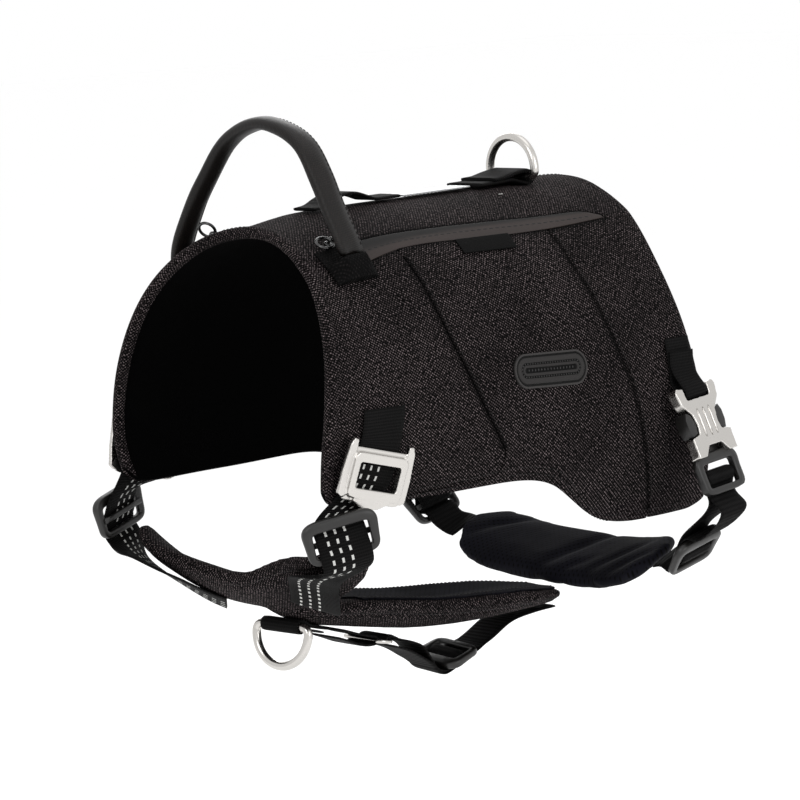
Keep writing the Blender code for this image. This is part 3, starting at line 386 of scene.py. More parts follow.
def seen_from_outside(points, normals):
    """How far each point is on the coat's outer skin: 1 outside, 0 at the edges and inside."""
    x, _, z = points.T
    away = np.stack([x, np.zeros_like(x), z - COAT_AXIS_Z], 1)
    away /= np.linalg.norm(away, axis=1, keepdims=True)
    return np.clip(((away * normals).sum(1) - OUTER_FROM) / OUTER_OVER, 0, 1)


def pushed(piece, out):
    """Moves a piece's skin out along its normals, by millimetres at each vertex or by the same at all."""
    places, normals = vertex_rows(piece.data), vertex_rows(piece.data, "normal")
    moved = places + (np.atleast_1d(out) * MM)[:, None] * normals
    piece.data.vertices.foreach_set("co", moved.ravel())
    piece.data.update()


def trough(places, start, end, width):
    """1 along a soft trough's middle and 0 beside it; it fades at its ends."""
    start, end = np.array(start, float), np.array(end, float)
    run = end - start
    share = np.clip((places - start) @ run / (run @ run), 0, 1)
    aside = np.linalg.norm(places - start - share[:, None] * run, axis=1)
    return np.exp(-(1.6 * aside / width) ** 2) * (0.3 + 2.8 * share * (1 - share))


def crease_coat(piece):
    """Sinks the creases into the panel's outer skin and lets it wave a little between them."""
    places, normals = vertex_rows(piece.data), vertex_rows(piece.data, "normal")
    flat = np.stack(round_the_coat(places), 1) / MM
    sink = np.zeros(len(flat))
    for side, from_degrees, from_y, to_degrees, to_y, depth, width in CREASES:
        around_mm = side * COAT_RADIUS / MM * math.pi / 180
        ends = (from_degrees * around_mm, from_y), (to_degrees * around_mm, to_y)
        sink += depth * trough(flat, *ends, width)
    waves = [sum(share * noise.noise(Vector(p) * turns) for turns, share in COAT_WAVES) for p in places]
    sink += WAVE_DEEP * (0.75 - np.array(waves))
    pushed(piece, -np.clip(sink, 0, SINK_MOST) * seen_from_outside(places, normals))


def off_lines(places, lines):
    """How far each place is from the nearest of some lines of points."""
    nearest = np.full(len(places), 1.0)
    for line in lines:
        spots = np.array(line)
        for a, b in zip(spots[:-1], spots[1:]):
            run = b - a
            share = np.clip((places - a) @ run / max(run @ run, 1e-12), 0, 1)
            nearest = np.minimum(nearest, np.linalg.norm(places - a - share[:, None] * run, axis=1))
    return nearest


def near_seams(piece):
    """Painted seam shadow: 0 on the line of a panel's seam or of its edge at a zip, rising to 1 a few
    millimetres beside it.
    """
    lines = [[skin(side * d, float(curve(seam, d))) for d in np.linspace(seam[0][0], seam[-1][0], 60)]
             for side in (1, -1) for seam in (FRONT_SEAM, REAR_SEAM)]
    lines += [[skin(side * float(curve(edge, y)), y) for y in np.linspace(edge[0][0], edge[-1][0], 60)]
              for side in (1, -1) for edge in (ZIP_TOP, ZIP_BOTTOM)]
    nearest = off_lines(vertex_rows(piece.data), lines)
    return 1 - SEAM_SHADOW * np.exp(-(nearest / (SEAM_SHADOW_WIDE * MM)) ** 2)


PANELS = {  # name: (CAD node, the cut's width and length laid flat, its area), in metres
    "outer_shell": ("shell", (0.53, 0.316), 0.0823),
    "pocket_panel_left": ("pocket_L", (0.262, 0.19), 0.0205),
    "pocket_panel_right": ("pocket_R", (0.262, 0.19), 0.0205),
}
panels = []
for name, (node, flat, area) in PANELS.items():
    panel = refined(name, node, 3, PANEL_ROUND)
    crease_coat(panel)
    map_cloth(panel, round_the_coat)
    shade_seams(panel, near_seams(panel))
    dress(panel, nylon, node)
    panels.append(panel)


# ---------------------------------------------------------------- lining and bound front edge
# The whole coat is lined with one piece of foam-backed cloth, so dark and matt that it shows no weave from
# a step away. A channel of the outer nylon is folded over both at the neck and sewn through.
LINING_DARK, LINING_LIGHT = "#010101", "#050506"
LINING_THREAD = 1.2 * MM
lining_cloth = woven("brushed lining", "lining_cloth", LINING_DARK, LINING_LIGHT, LINING_THREAD, 0.95,
                     relief=0.1, shine=0.03)
lining = refined("lining_whole", "lining", 2, 0.4)
map_cloth(lining, round_the_coat)
dress(lining, lining_cloth, "lining")


def map_faces(piece, rule):
    """Lays the cloth map face by face, by a rule from places and face normals to (across, along)."""
    mesh = piece.data
    ways, sides = np.empty(len(mesh.polygons) * 3), np.empty(len(mesh.polygons), int)
    mesh.polygons.foreach_get("normal", ways)
    mesh.polygons.foreach_get("loop_total", sides)
    places = vertex_rows(mesh)[corners_of(mesh)]
    lay_cloth(piece, np.stack(rule(places, np.repeat(ways.reshape(-1, 3), sides, 0)), 1))


def round_the_edge(places, ways):
    """Cloth map of the bound edge: along it, and outward where it faces forward or back."""
    across, along = round_the_coat(places)
    out = np.hypot(places[:, 0], places[:, 2] - COAT_AXIS_Z)
    return across, np.where(np.abs(ways[:, 1]) > 0.7, out, along)


binding = refined("neck_binding", "front_binding", 2, 0)
map_faces(binding, round_the_edge)
shade_seams(binding, np.ones(len(binding.data.vertices)))
dress(binding, nylon, "front_binding")


# ---------------------------------------------------------------- seams and topstitching of the coat
# Black bonded polyester thread, sewn at about three millimetres a stitch: a row on the binding, one beside
# each panel seam, and two along the hem where the edge is turned in. Each stitch is a short rounded float.
THREAD_COLOUR, THREAD_SHADE = "#1c1818", "#0b0a0a"
TWIST_GLINTS = 900.0  # lumps of painted glint a metre
SEAM_ROW, BOUND_ROW, REAR_ROW = 2.6, BINDING_WIDTH - 1.3, -4.5  # how far behind a seam or an edge
STITCH_PITCH, STITCH_LENGTH, STITCH_THICK = 3.1 * MM, 2.3 * MM, 0.62 * MM


def outside_of(*pieces):
    """A search tree over the pieces' faces."""
    points, faces = [], []
    for piece in pieces:
        faces += [[k + len(points) for k in face.vertices] for face in piece.data.polygons]
        points += [v.co.copy() for v in piece.data.vertices]
    return BVHTree.FromPolygons(points, faces)


def lay_on(surface, guesses, lift=0.1):
    """The nearest points on a surface, a little off it, each with the way out."""
    found = [surface.find_nearest(guess) for guess in guesses]
    return [(place + lift * MM * normal, normal) for place, normal, _, _ in found]


def stitch_tree():
    """A row of stitches along each line of points, each turned to lie along it and face out."""
    tree = bpy.data.node_groups.new("stitch row", "GeometryNodeTree")
    tree.interface.new_socket("Lines", in_out="INPUT", socket_type="NodeSocketGeometry")
    for name in ("Pitch", "Length", "Width", "Thickness"):
        tree.interface.new_socket(name, in_out="INPUT", socket_type="NodeSocketFloat")
    tree.interface.new_socket("Thread", in_out="INPUT", socket_type="NodeSocketMaterial")
    tree.interface.new_socket("Stitches", in_out="OUTPUT", socket_type="NodeSocketGeometry")
    given = put(tree, "NodeGroupInput").outputs
    line = put(tree, "GeometryNodeMeshToCurve", {"Mesh": given["Lines"]}).outputs["Curve"]
    spots = put(tree, "GeometryNodeResampleCurve", {"Curve": line, "Length": given["Pitch"]}, mode="LENGTH")
    float_size = put(tree, "ShaderNodeCombineXYZ", {0: given["Length"], 1: given["Width"],
                                                    2: given["Thickness"]}).outputs[0]
    bead = put(tree, "GeometryNodeMeshUVSphere", {"Segments": 8, "Rings": 5, "Radius": 0.5}).outputs["Mesh"]
    stitch = put(tree, "GeometryNodeTransform", {"Geometry": bead, "Scale": float_size}).outputs[0]
    tangent = put(tree, "GeometryNodeInputTangent").outputs[0]
    out = put(tree, "GeometryNodeInputNamedAttribute", {"Name": "out"}, data_type="FLOAT_VECTOR")
    lying = put(tree, "FunctionNodeAlignRotationToVector", {"Vector": tangent}, axis="X").outputs[0]
    facing = put(tree, "FunctionNodeAlignRotationToVector", {"Rotation": lying, "Vector": out.outputs[0]},
                 axis="Z", pivot_axis="X").outputs[0]
    placed = put(tree, "GeometryNodeInstanceOnPoints", {"Points": spots.outputs[0], "Instance": stitch,
                                                        "Rotation": facing}).outputs[0]
    real = put(tree, "GeometryNodeRealizeInstances", {"Geometry": placed}).outputs[0]
    smooth = put(tree, "GeometryNodeSetShadeSmooth", {"Geometry": real}).outputs[0]
    done = put(tree, "GeometryNodeSetMaterial", {"Geometry": smooth, "Material": given["Thread"]}).outputs[0]
    put(tree, "NodeGroupOutput", {"Stitches": done})
    return tree


STITCHES = stitch_tree()


def sew(name, rows, thread, pitch=STITCH_PITCH, length=STITCH_LENGTH, width=STITCH_THICK,
        thick=STITCH_THICK):
    """Rows of stitches as one piece; each row is a list of (place, way out)."""
    mesh = bpy.data.meshes.new(name)
    points, edges, outs = [], [], []
    for row in rows:
        edges += [(len(points) + k, len(points) + k + 1) for k in range(len(row) - 1)]
        points += [place for place, _ in row]
        outs += [c for _, out in row for c in out]
    mesh.from_pydata(points, edges, [])
    mesh.attributes.new("out", "FLOAT_VECTOR", "POINT").data.foreach_set("vector", outs)
    piece = added(name, mesh)
    stitches = piece.modifiers.new("stitches", "NODES")
    stitches.node_group = STITCHES
    values = {"Pitch": pitch, "Length": length, "Width": width, "Thickness": thick, "Thread": thread}
    for item in STITCHES.interface.items_tree:
        if item.in_out == "INPUT" and item.name in values:
            stitches[item.identifier] = values[item.name]
    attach(baked(piece), "harness")


def thread_finish(name, colour):
    """Bonded polyester: twisted, so it catches the light in a slant across each stitch; that light is
    painted as a mottle of highlight and shade.
    """
    look, tree, shader = finish(name, Roughness=0.6, Specular_IOR_Level=0.25)
    twist_glint = cloud(tree, source(tree, "place"), TWIST_GLINTS)
    # Painted light: a fine mottle between the thread's painted shade and its lit colour.
    tree.links.new(between(tree, twist_glint, THREAD_SHADE, colour), shader.inputs["Base Color"])
    return look


black_thread = thread_finish("bonded thread, black", THREAD_COLOUR)
coat_face = outside_of(*panels, binding)


def seam_rows():
    """The rows of stitches on both sides of the coat."""
    rows = []
    for side in (1, -1):
        for seam, behind in ((FRONT_SEAM, SEAM_ROW), (REAR_SEAM, SEAM_ROW), (FRONT_EDGE, BOUND_ROW),
                             (REAR_EDGE, REAR_ROW)):
            degrees = np.linspace(seam[0][0], seam[-1][0], 70)
            rows.append([skin(side * d, float(curve(seam, d)) + behind) for d in degrees])
        for up in HEM_ROWS:
            row = []
            for y in np.linspace(HEM[0][0], HEM[-1][0], 90):
                hem = float(curve(HEM, y)) - (0 if side > 0 else float(curve(RIGHT_HEM_RISE, y)))
                row.append(skin(side * (hem - up / MM_PER_DEGREE), y))
            rows.append(row)
    return rows


sew("coat_stitching", [lay_on(coat_face, row) for row in seam_rows()], black_thread)


# ---------------------------------------------------------------- zips
# A reverse-coil zip under each shoulder of the coat: its teeth are hidden behind two lips of film-coated
# tape, satin and water-tight, that meet in a fine broken line of painted shadow. The slider and its ring are
# gloss black.
TAPE_DARK, TAPE_LIGHT = "#1e1816", "#322a28"
TAPE_HALF, TAPE_ROLL = 6.7, 2.2  # half its width, and how far in its edge is shaded, in mm
ZIP_MIDDLE = ((-104, 35.6), (-70, 34.4), (-30, 33.9), (20, 34.4), (60, 35.2), (76, 35.6))  # (y, degrees)


def coated_tape():
    """Polyurethane film over a fine knit: satin, with the knit just telling through, and painted shade at
    its edges.
    """
    look, tree, shader = finish("film-coated tape", "zip_tape", Roughness=0.42, Specular_IOR_Level=0.16)
    uv = source(tree, "cloth")
    worn = cloud(tree, uv, 35.0, 4.0)
    # Painted shade: the tape's colour falls to the nylon's dark where its edges roll under the panels.
    colour = between(tree, source(tree, "seam"), NYLON_DARK, between(tree, worn, TAPE_DARK, TAPE_LIGHT))
    wire(tree, shader, colour, cloud(tree, uv, 900.0), 0.06, 0.6, ranged(tree, worn, 0, 1, 0.36, 0.55))
    return look


def near_edges(places):
    """Painted shade for the tape: 1 over its middle, falling to 0 where its edges roll under the panels."""
    around = np.degrees(np.arctan2(np.abs(places[:, 0]), places[:, 2] - COAT_AXIS_Z))
    off = np.abs(around - np.array([float(curve(ZIP_MIDDLE, y)) for y in places[:, 1] / MM])) * MM_PER_DEGREE
    return np.clip((TAPE_HALF - off) / TAPE_ROLL, 0.1, 1)


tape_look = coated_tape()
tapes = []
for side in ("L", "R"):
    tape = refined(f"zip_lips_{side}", f"zip_tape_{side}", 2, 0.3)
    map_cloth(tape, round_the_coat)
    shade_seams(tape, near_edges(vertex_rows(tape.data)))
    tapes.append(dress(tape, tape_look, f"zip_tape_{side}"))
tape_face = outside_of(*tapes)
# A painted shadow: short dark dashes laid along the line where the zip's lips meet.
gap_shadow_rows = []
for side in (1, -1):
    middle = [skin(side * float(curve(ZIP_MIDDLE, y)), y) for y in np.linspace(-100, 74, 60)]
    gap_shadow_rows.append(lay_on(tape_face, middle, -0.05))
dark_gap, _, _ = finish("shadow between the zip's lips", Base_Color=linear("#070606"), Roughness=0.9)
sew("zip_gap_shadow", gap_shadow_rows, dark_gap, pitch=4.6 * MM, length=3.9 * MM, width=1.1 * MM, thick=0.25 * MM)


def moulded(name, slot, colour, other, roughness, grain_mm, relief, coat=0.0, painted_shade=False):
    """Moulded plastic, rubber or paint: an even skin with a fine spark-eroded grain and rubbed places, and
    painted shade from the seam attribute if asked.
    """
    look, tree, shader = finish(name, slot, Roughness=roughness, Coat_Weight=coat, Coat_Roughness=0.08)
    place = source(tree, "place")
    rubbed = cloud(tree, place, 60.0, 5.0)
    tone = between(tree, rubbed, colour, other)
    if painted_shade:
        shader.inputs["Specular IOR Level"].default_value = 0.15
        # Painted shade: near black where the seam attribute is low, as in the port's grooves and slit.
        tone = between(tree, source(tree, "seam"), "#010101", tone)
    rough = ranged(tree, rubbed, 0.3, 0.7, roughness - 0.08, roughness + 0.1)
    wire(tree, shader, tone, cloud(tree, place, 1 / (grain_mm * MM)), relief, rough=rough)
    return look


def machined(name, node, round_mm, look):
    """A hard piece: its CAD triangles merged, its flat faces kept and its edges broken."""
    piece = refined(name, node, 0, round_mm, sharp=28, dissolve=True)
    return dress(piece, look, node)


gloss_black = moulded("gloss painted zinc", "gloss_metal", "#060606", "#0e0e0e", 0.16, 0.8, 0.01, coat=0.6)
for side in ("L", "R"):
    machined(f"slider_body_{side}", f"zip_slider_{side}", 0.25, gloss_black)
    pull = refined(f"ring_pull_{side}", f"zip_pull_{side}", 2, 0)
    dress(pull, gloss_black, f"zip_pull_{side}")


# ---------------------------------------------------------------- labels and rubber ports
# Under each zip a plain woven label is folded into the seam. Below it sits a port of moulded rubber for a
# lead or cable: a raised rim, a groove, and an inner ring round a slit with a row of short bars.
LABEL_DARK, LABEL_LIGHT = "#020202", "#0d0c0c"
LABEL_THREAD, LABEL_CUT = 0.9 * MM, (0.012, 0.041)  # the cut in metres
PORT_DEGREES, PORT_LONG, PORT_HIGH = 82.5, 56.0, 18.5
PORT_STEPS = (  # (in from the rim, off the pocket, how light as painted shade, dark in the grooves and slit): rim, groove, broad ring, groove, ring, slit
    (-0.1, 0.1, 0.4), (0, 1.6, 0.8), (0.3, 2.2, 1.0), (1.0, 2.2, 1.0), (1.3, 1.3, 0.02), (2.1, 1.3, 0.02),
    (2.4, 2.0, 0.62), (5.0, 2.0, 0.62), (5.3, 1.2, 0.02), (6.2, 1.2, 0.02), (6.5, 1.9, 0.6), (7.7, 1.9, 0.6),
    (8.0, 0.7, 0.0), (8.6, 0.6, 0.0),
)
PORT_SPAN, PORT_BARS, PORT_TEETH = 34.0, 14, (5.75, 1.55)  # the teeth: in from the rim, off the pocket
LABEL_HEM, LABEL_HEM_RUN = 38.9, (-34.5, 3.5)  # the stitched row's degrees, and its y from and to
damask = woven("damask label, plain", "patch_nylon", LABEL_DARK, LABEL_LIGHT, LABEL_THREAD, 0.6, relief=0.06,
               turn=0)
rubber = moulded("moulded rubber", "port_rubber", "#2c2a2a", "#383635", 0.6, 0.7, 0.02, painted_shade=True)
rubber_mark = moulded("moulded rubber, raised bars", "", "#1a1919", "#2b2a29", 0.6, 0.7, 0.01)
for side, sign in (("L", 1), ("R", -1)):
    label = refined(f"woven_label_{side}", f"label_{side}", 2, 0.35)
    map_cloth(label, round_the_coat)
    dress(label, damask, f"label_{side}")
    row = [skin(sign * LABEL_HEM, y) for y in np.linspace(*LABEL_HEM_RUN, 20)]
    sew(f"label_stitching_{side}", [lay_on(outside_of(label), row)], black_thread, pitch=2.2 * MM,
        length=1.6 * MM)


def oval_on_flank(sign, inset, lift, count=72):
    """A closed row of points round the port, in from its rim and off the pocket, each with the way out."""
    radius = PORT_HIGH / 2 - inset
    straight = (PORT_LONG - PORT_HIGH) / 2
    row = []
    for k in range(count):
        turn = 2 * math.pi * k / count
        along = math.copysign(straight, math.cos(turn)) if abs(math.cos(turn)) > 1e-6 else 0
        around = PORT_DEGREES + radius * math.sin(turn) / MM_PER_DEGREE
        row.append(skin(sign * around, along + radius * math.cos(turn)))
    return lay_on(coat_face, row, lift)


def tube(rings, count, start=0, closed=False):
    """The faces of a tube of rings of points: capped at its ends, or closed on itself."""
    faces = []
    for i in range(rings if closed else rings - 1):
        a, b = start + i * count, start + (i + 1) % rings * count
        faces += [(a + j, a + (j + 1) % count, b + (j + 1) % count, b + j) for j in range(count)]
    if not closed:
        last = start + (rings - 1) * count
        faces += [tuple(range(start, start + count))[::-1], tuple(range(last, last + count))]
    return faces


def solid(name, points, faces):
    """A smooth piece from its points and faces, which are turned outward."""
    mesh = bpy.data.meshes.new(name)
    mesh.from_pydata([tuple(p) for p in points], [], faces)
    work = bmesh.new()
    work.from_mesh(mesh)
    bmesh.ops.recalc_face_normals(work, faces=work.faces)
    work.to_mesh(mesh)
    work.free()
    mesh.shade_smooth()
    return added(name, mesh)


for side, sign in (("L", 1), ("R", -1)):
    rows = [oval_on_flank(sign, inset, lift) for inset, lift, _ in PORT_STEPS]
    count = len(rows[0])
    points = [place for row in rows for place, _ in row]
    port = solid(f"cable_port_{side}", points, tube(len(rows), count))
    # Painted shade for each step of the port, dark in its grooves and slit.
    shade_seams(port, [light for _, _, light in PORT_STEPS for _ in range(count)])
    dress(port, rubber, f"port_{side}")
    teeth = oval_on_flank(sign, *PORT_TEETH)
    sew(f"port_teeth_{side}", [teeth + teeth[:1]], rubber_mark, pitch=1.9 * MM, length=0.9 * MM,
        width=0.9 * MM, thick=0.5 * MM)
    bars = [skin(sign * PORT_DEGREES, y) for y in np.linspace(-PORT_SPAN / 2, PORT_SPAN / 2, 24)]
    sew(f"port_bars_{side}", [lay_on(coat_face, bars, 1.1)], rubber_mark, pitch=PORT_SPAN / PORT_BARS * MM,
        length=0.8 * MM, width=1.5 * MM, thick=0.5 * MM)


# ---------------------------------------------------------------- on the spine
# Grosgrain webbing: nylon woven with a heavy weft, so it is ribbed across its length. A finger loop, a
# reflective strip of glass-bead tape and a fold of wide webbing round the lead ring's bar, all sewn down.
WEB_DARK, WEB_LIGHT = "#010101", "#151414"
FINE_RIB, COARSE_RIB, WARP = 1.8 * MM, 3.0 * MM, 1.3 * MM
DASH_COLOUR = "#b9b9b6"
DASH_COLUMNS, DASH_WIDTH, DASH_REPEAT, DASH_SHARE = 5.6 * MM, 1.4 * MM, 5.6 * MM, 0.5
WEBBING = 1.5  # thickness
STRAP_SIDES, EDGE_THIN = 10, 0.62  # points across a strap's face, and its thickness at the edges
STEEL_COLOUR = "#c4c1bd"
WIRE_BACK = 0.25  # what rounding takes off a ring's wire
TAPE_EDGES = (-7, 7)  # x of the stitched rows on the reflective tape
TACK_AT, TACK_HALF = (13.2, 40.0), 0.9  # (degrees, y) of the bar tacks, and half a tack


def grosgrain(name, rib, dashes_at=None):
    """Ribs across the webbing, each broken by its warp, with painted highlight on their crowns and painted
    shade in their grooves; and three columns of silver yarn if asked.
    """
    look, tree, shader = finish(name, "webbing", Roughness=0.75, Specular_IOR_Level=0.08)
    uv = source(tree, "cloth")
    across, along, _ = put(tree, "ShaderNodeSeparateXYZ", {0: uv}).outputs
    one_wave = 0.314  # the Wave texture's scale for one wave a unit
    ribs, warp = (put(tree, "ShaderNodeTexWave", {"Vector": uv, "Scale": one_wave / size, "Detail": 1.0,
                                                  "Distortion": wobble, "Detail Scale": 1.5},
                      bands_direction=way).outputs["Fac"]
                  for size, way, wobble in ((rib, "Y", 0.35), (WARP, "X", 0.5)))
    height = maths(tree, "ADD", ribs, maths(tree, "MULTIPLY", warp, 0.4))
    worn = cloud(tree, source(tree, "place"), 40.0, 4.0)
    # Painted light: the ribs' crowns lit and their grooves shaded, unevenly worn.
    share = maths(tree, "MULTIPLY", maths(tree, "MULTIPLY", height, 0.72), worn)
    colour = between(tree, share, WEB_DARK, WEB_LIGHT)
    if dashes_at is not None:
        column = maths(tree, "DIVIDE", maths(tree, "SUBTRACT", across, dashes_at), DASH_COLUMNS)
        aside = maths(tree, "ABSOLUTE", maths(tree, "SUBTRACT", column, maths(tree, "ROUND", column)))
        on_column = maths(tree, "LESS_THAN", aside, DASH_WIDTH / DASH_COLUMNS / 2)
        inside = maths(tree, "LESS_THAN", maths(tree, "ABSOLUTE", column), 1.5)
        step = maths(tree, "FRACT", maths(tree, "DIVIDE", along, DASH_REPEAT))
        on_dash = maths(tree, "LESS_THAN", step, DASH_SHARE)
        silver = maths(tree, "MULTIPLY", maths(tree, "MULTIPLY", on_column, inside), on_dash)
        colour = between(tree, silver, colour, DASH_COLOUR)
        height = maths(tree, "ADD", height, silver)
    wire(tree, shader, colour, height, 0.3, 0.7)
    return look


def rings_of(node, width):
    """The four corners of a strap's section at each step along it, read from its CAD solid.

    The first of the four starts as the one furthest to the dog's left and front, so it's the same each run.
    """
    work = bmesh.new()
    work.from_mesh(frame["nodes"][node].data)
    bmesh.ops.remove_doubles(work, verts=work.verts, dist=0.02 * MM)
    wide, thin = {}, {}
    for v in work.verts:
        edges = sorted(v.link_edges, key=lambda e: e.calc_length())
        wide[v] = next(e for e in edges if e.calc_length() > (width - 0.05) * MM).other_vert(v)
        thin[v] = min(edges, key=lambda e: abs(e.calc_length() - WEBBING * MM)).other_vert(v)
    ring_of = {v: frozenset((v, wide[v], thin[v], thin[wide[v]])) for v in work.verts}
    beside = {ring: set() for ring in ring_of.values()}
    for e in work.edges:
        a, b = (ring_of[v] for v in e.verts)
        if a is not b and a != b:
            beside[a].add(b)
            beside[b].add(a)
    ring, before, arm, rings = next(r for r in beside if len(beside[r]) == 1), None, None, []
    while ring:
        middle = sum((v.co for v in ring), Vector()) / 4
        first = min(ring, key=lambda v: (v.co - middle - arm).length if arm else v.co.y - v.co.x)
        arm = first.co - middle
        rings.append([v.co.copy() for v in (first, wide[first], thin[wide[first]], thin[first])])
        ring, before = next((r for r in beside[ring] if r != before), None), ring
    work.free()
    return rings


def smooth_rows(rows, step):
    """Rows of numbers made finer along a smooth curve through them; the first three are a place."""
    rows = np.array(rows, float)
    run = np.concatenate([[0], np.cumsum(np.linalg.norm(np.diff(rows[:, :3], axis=0), axis=1))])
    at = np.linspace(0, run[-1], max(int(run[-1] / step), 4))
    return np.array([[curve(np.stack([run, column], 1), s) for s in at] for column in rows.T]).T


def strap_mesh(name, rows):
    """A strap from rows of (place, half across, half through), with rounded edges and its cloth map."""
    t = np.linspace(-1, 1, STRAP_SIDES)
    half_face = [(s, 1.0) for s in np.sign(t) * np.abs(t) ** 0.8 * 0.985]
    section = half_face + [(1.0, 0.0)] + [(-s, -1.0) for s, _ in half_face] + [(-1.0, 0.0)]
    points, laid, run = [], [], 0.0
    for k, row in enumerate(rows):
        place, across, through = row[:3], row[3:6], row[6:9]
        run += np.linalg.norm(place - rows[k - 1][:3]) if k else 0
        width = np.linalg.norm(across)
        for a, b in section:
            edge = 1.0 if abs(a) < 0.9 else EDGE_THIN
            points.append(place + a * across + b * edge * through)
            laid.append((a * width, run))
    piece = solid(name, points, tube(len(rows), len(section)))
    lay_cloth(piece, np.array(laid)[corners_of(piece.data)])
    return piece


def strap(name, node, width, look, wider=1.0, thicker=1.0):
    """A webbing strap laid along its CAD solid."""
    rows = []
    for a, b, c, d in rings_of(node, width):
        across, through = (b - a + c - d) / 4 * wider, (d - a + c - b) / 4 * thicker
        rows.append((*((a + b + c + d) / 4), *across, *through))
    rows = smooth_rows(rows, 2.2 * MM)
    piece = dress(strap_mesh(name, rows), look, node)
    return piece


def steel(name, scratch):
    """Stainless steel, tumbled and buffed: bright, with soft fine scratches and duller rubbed places."""
    look, tree, shader = finish(name, "polished_steel", Base_Color=linear(STEEL_COLOUR), Metallic=1.0)
    place = source(tree, "place")
    drawn = put(tree, "ShaderNodeMapping", {"Vector": place, "Scale": (1.0, 1.0, 9.0)}).outputs[0]
    rough = ranged(tree, cloud(tree, place, 55.0, 3.0), 0.3, 0.7, 0.16, 0.32)
    wire(tree, shader, None, cloud(tree, drawn, 150.0), scratch, 0.12, rough)
    return look


def lead_ring(name, node):
    """A welded ring of round wire: the CAD's eight-sided wire is rounded and brought back to its gauge."""
    ring = refined(name, node, 3, 0)
    pushed(ring, WIRE_BACK)
    dress(ring, buffed_steel, node)


fine_web = grosgrain("grosgrain webbing", FINE_RIB)
buffed_steel = steel("buffed stainless steel", 0.03)
strap("finger_loop_web", "finger_loop", 20, fine_web, thicker=1.3)
strap("rear_ring_fold", "ring_tab", 30, fine_web, thicker=1.7)
lead_ring("rear_lead_ring", "rear_ring")


def glass_bead_tape():
    """Reflective tape: glass beads on a silver ground, in fine hexagonal cells, grey and satin by day."""
    look, tree, shader = finish("glass-bead reflective tape", "reflective", Metallic=0.6, Roughness=0.4)
    cells = put(tree, "ShaderNodeTexVoronoi", {"Vector": source(tree, "place"), "Scale": 700.0})
    cells = cells.outputs["Distance"]
    wire(tree, shader, between(tree, cells, "#8e8f90", "#c4c5c6"), cells, 0.08)
    return look


strip = refined("reflective_tape", "reflective_strip", 2, 0.2)
dress(strip, glass_bead_tape(), "reflective_strip")
tape_rows = [[Vector((x, y, 4.9 if y > 20 else 4.4)) * MM for y in np.linspace(-19, 31, 20)]
             for x in TAPE_EDGES]
sew("tape_stitching", [lay_on(outside_of(strip), row) for row in tape_rows], black_thread)
white_thread = thread_finish("bonded thread, white", "#d9d8d4")
tacks = [[skin(side * TACK_AT[0], TACK_AT[1] + step) for step in (-TACK_HALF, TACK_HALF)]
         for side in (1, -1)]
sew("bar_tacks", [lay_on(coat_face, row, 0.3) for row in tacks], white_thread, pitch=3 * MM, length=1.9 * MM,
    width=1.3 * MM, thick=0.5 * MM)


# ---------------------------------------------------------------- the grab handle
# A foam core in a sleeve of fine satin nylon that is sewn shut along a flange on its rear edge. Each end
# goes into a folded patch of dark nylon, box-stitched to the coat.
HANDLE = (  # (x, y, z) of its middle, from the dog's right over the top to its left
    (-79.4, -122, -24), (-76.4, -122.6, -17), (-71.2, -122.6, -7), (-65.2, -122.2, 3), (-58.9, -121.3, 13),
    (-52, -120, 23), (-44.7, -118.8, 33), (-35.5, -118, 43), (-27.9, -117.5, 48), (-15, -117.3, 53),
    (-1.4, -117.5, 55.5), (12.2, -117.4, 53), (25, -117.5, 48), (32.6, -117.6, 43), (41.3, -118, 32.8),
    (46.8, -118, 22.5), (52.2, -118, 12.2), (57.5, -118, 2.1), (62.8, -117.8, -7.9), (66, -117.5, -14),
)
FLANGE_ROW = 7.9  # from the middle of the sleeve to its stitching
SLEEVE_DARK, SLEEVE_LIGHT = "#090706", "#221a18"
HANDLE_BASES = (("L", 1, 31.5, -119), ("R", -1, 37, -121))  # (letter, side, degrees it starts at, y)
BOX_ROWS, BOX_HALF = (1.2, 14.8), 12.6  # the box stitch: degrees from the start, and half its length
RIPPLE_DEEP, RIPPLE_TURNS = 0.32, (60, 160, 60)  # turns a metre


def run_of_handle(places):
    """Cloth map of the sleeve: round the arch, and front to back."""
    return np.arctan2(places[:, 0], places[:, 2] + 0.02) * 0.06, places[:, 1] + places[:, 2] * 0.1


sleeve_cloth = woven("satin nylon sleeve", "handle_cloth", SLEEVE_DARK, SLEEVE_LIGHT, 1.0 * MM, 0.45,
                     relief=0.07, shine=0.22, turn=20)
sleeve = refined("handle_sleeve", "handle", 2, 0)
pushed(sleeve, [RIPPLE_DEEP * noise.noise(Vector(p * RIPPLE_TURNS)) for p in vertex_rows(sleeve.data)])
map_cloth(sleeve, run_of_handle)
dress(sleeve, sleeve_cloth, "handle")
sleeve_face = outside_of(sleeve)
arch = smooth_rows(np.array(HANDLE) * MM, 2.0 * MM)
along = np.gradient(arch, axis=0)
along /= np.linalg.norm(along, axis=1, keepdims=True)
outward = np.cross(along, (0, 1, 0))
outward *= np.sign(outward @ (0, 0, 1) + 1e-6)[:, None]
for name, face in (("outer", 1), ("inner", -1)):
    row = [Vector(p + (0, FLANGE_ROW * MM, 0) + face * 3 * MM * o) for p, o in zip(arch, outward)]
    sew(f"handle_stitching_{name}", [lay_on(sleeve_face, row, 0.12)], black_thread)

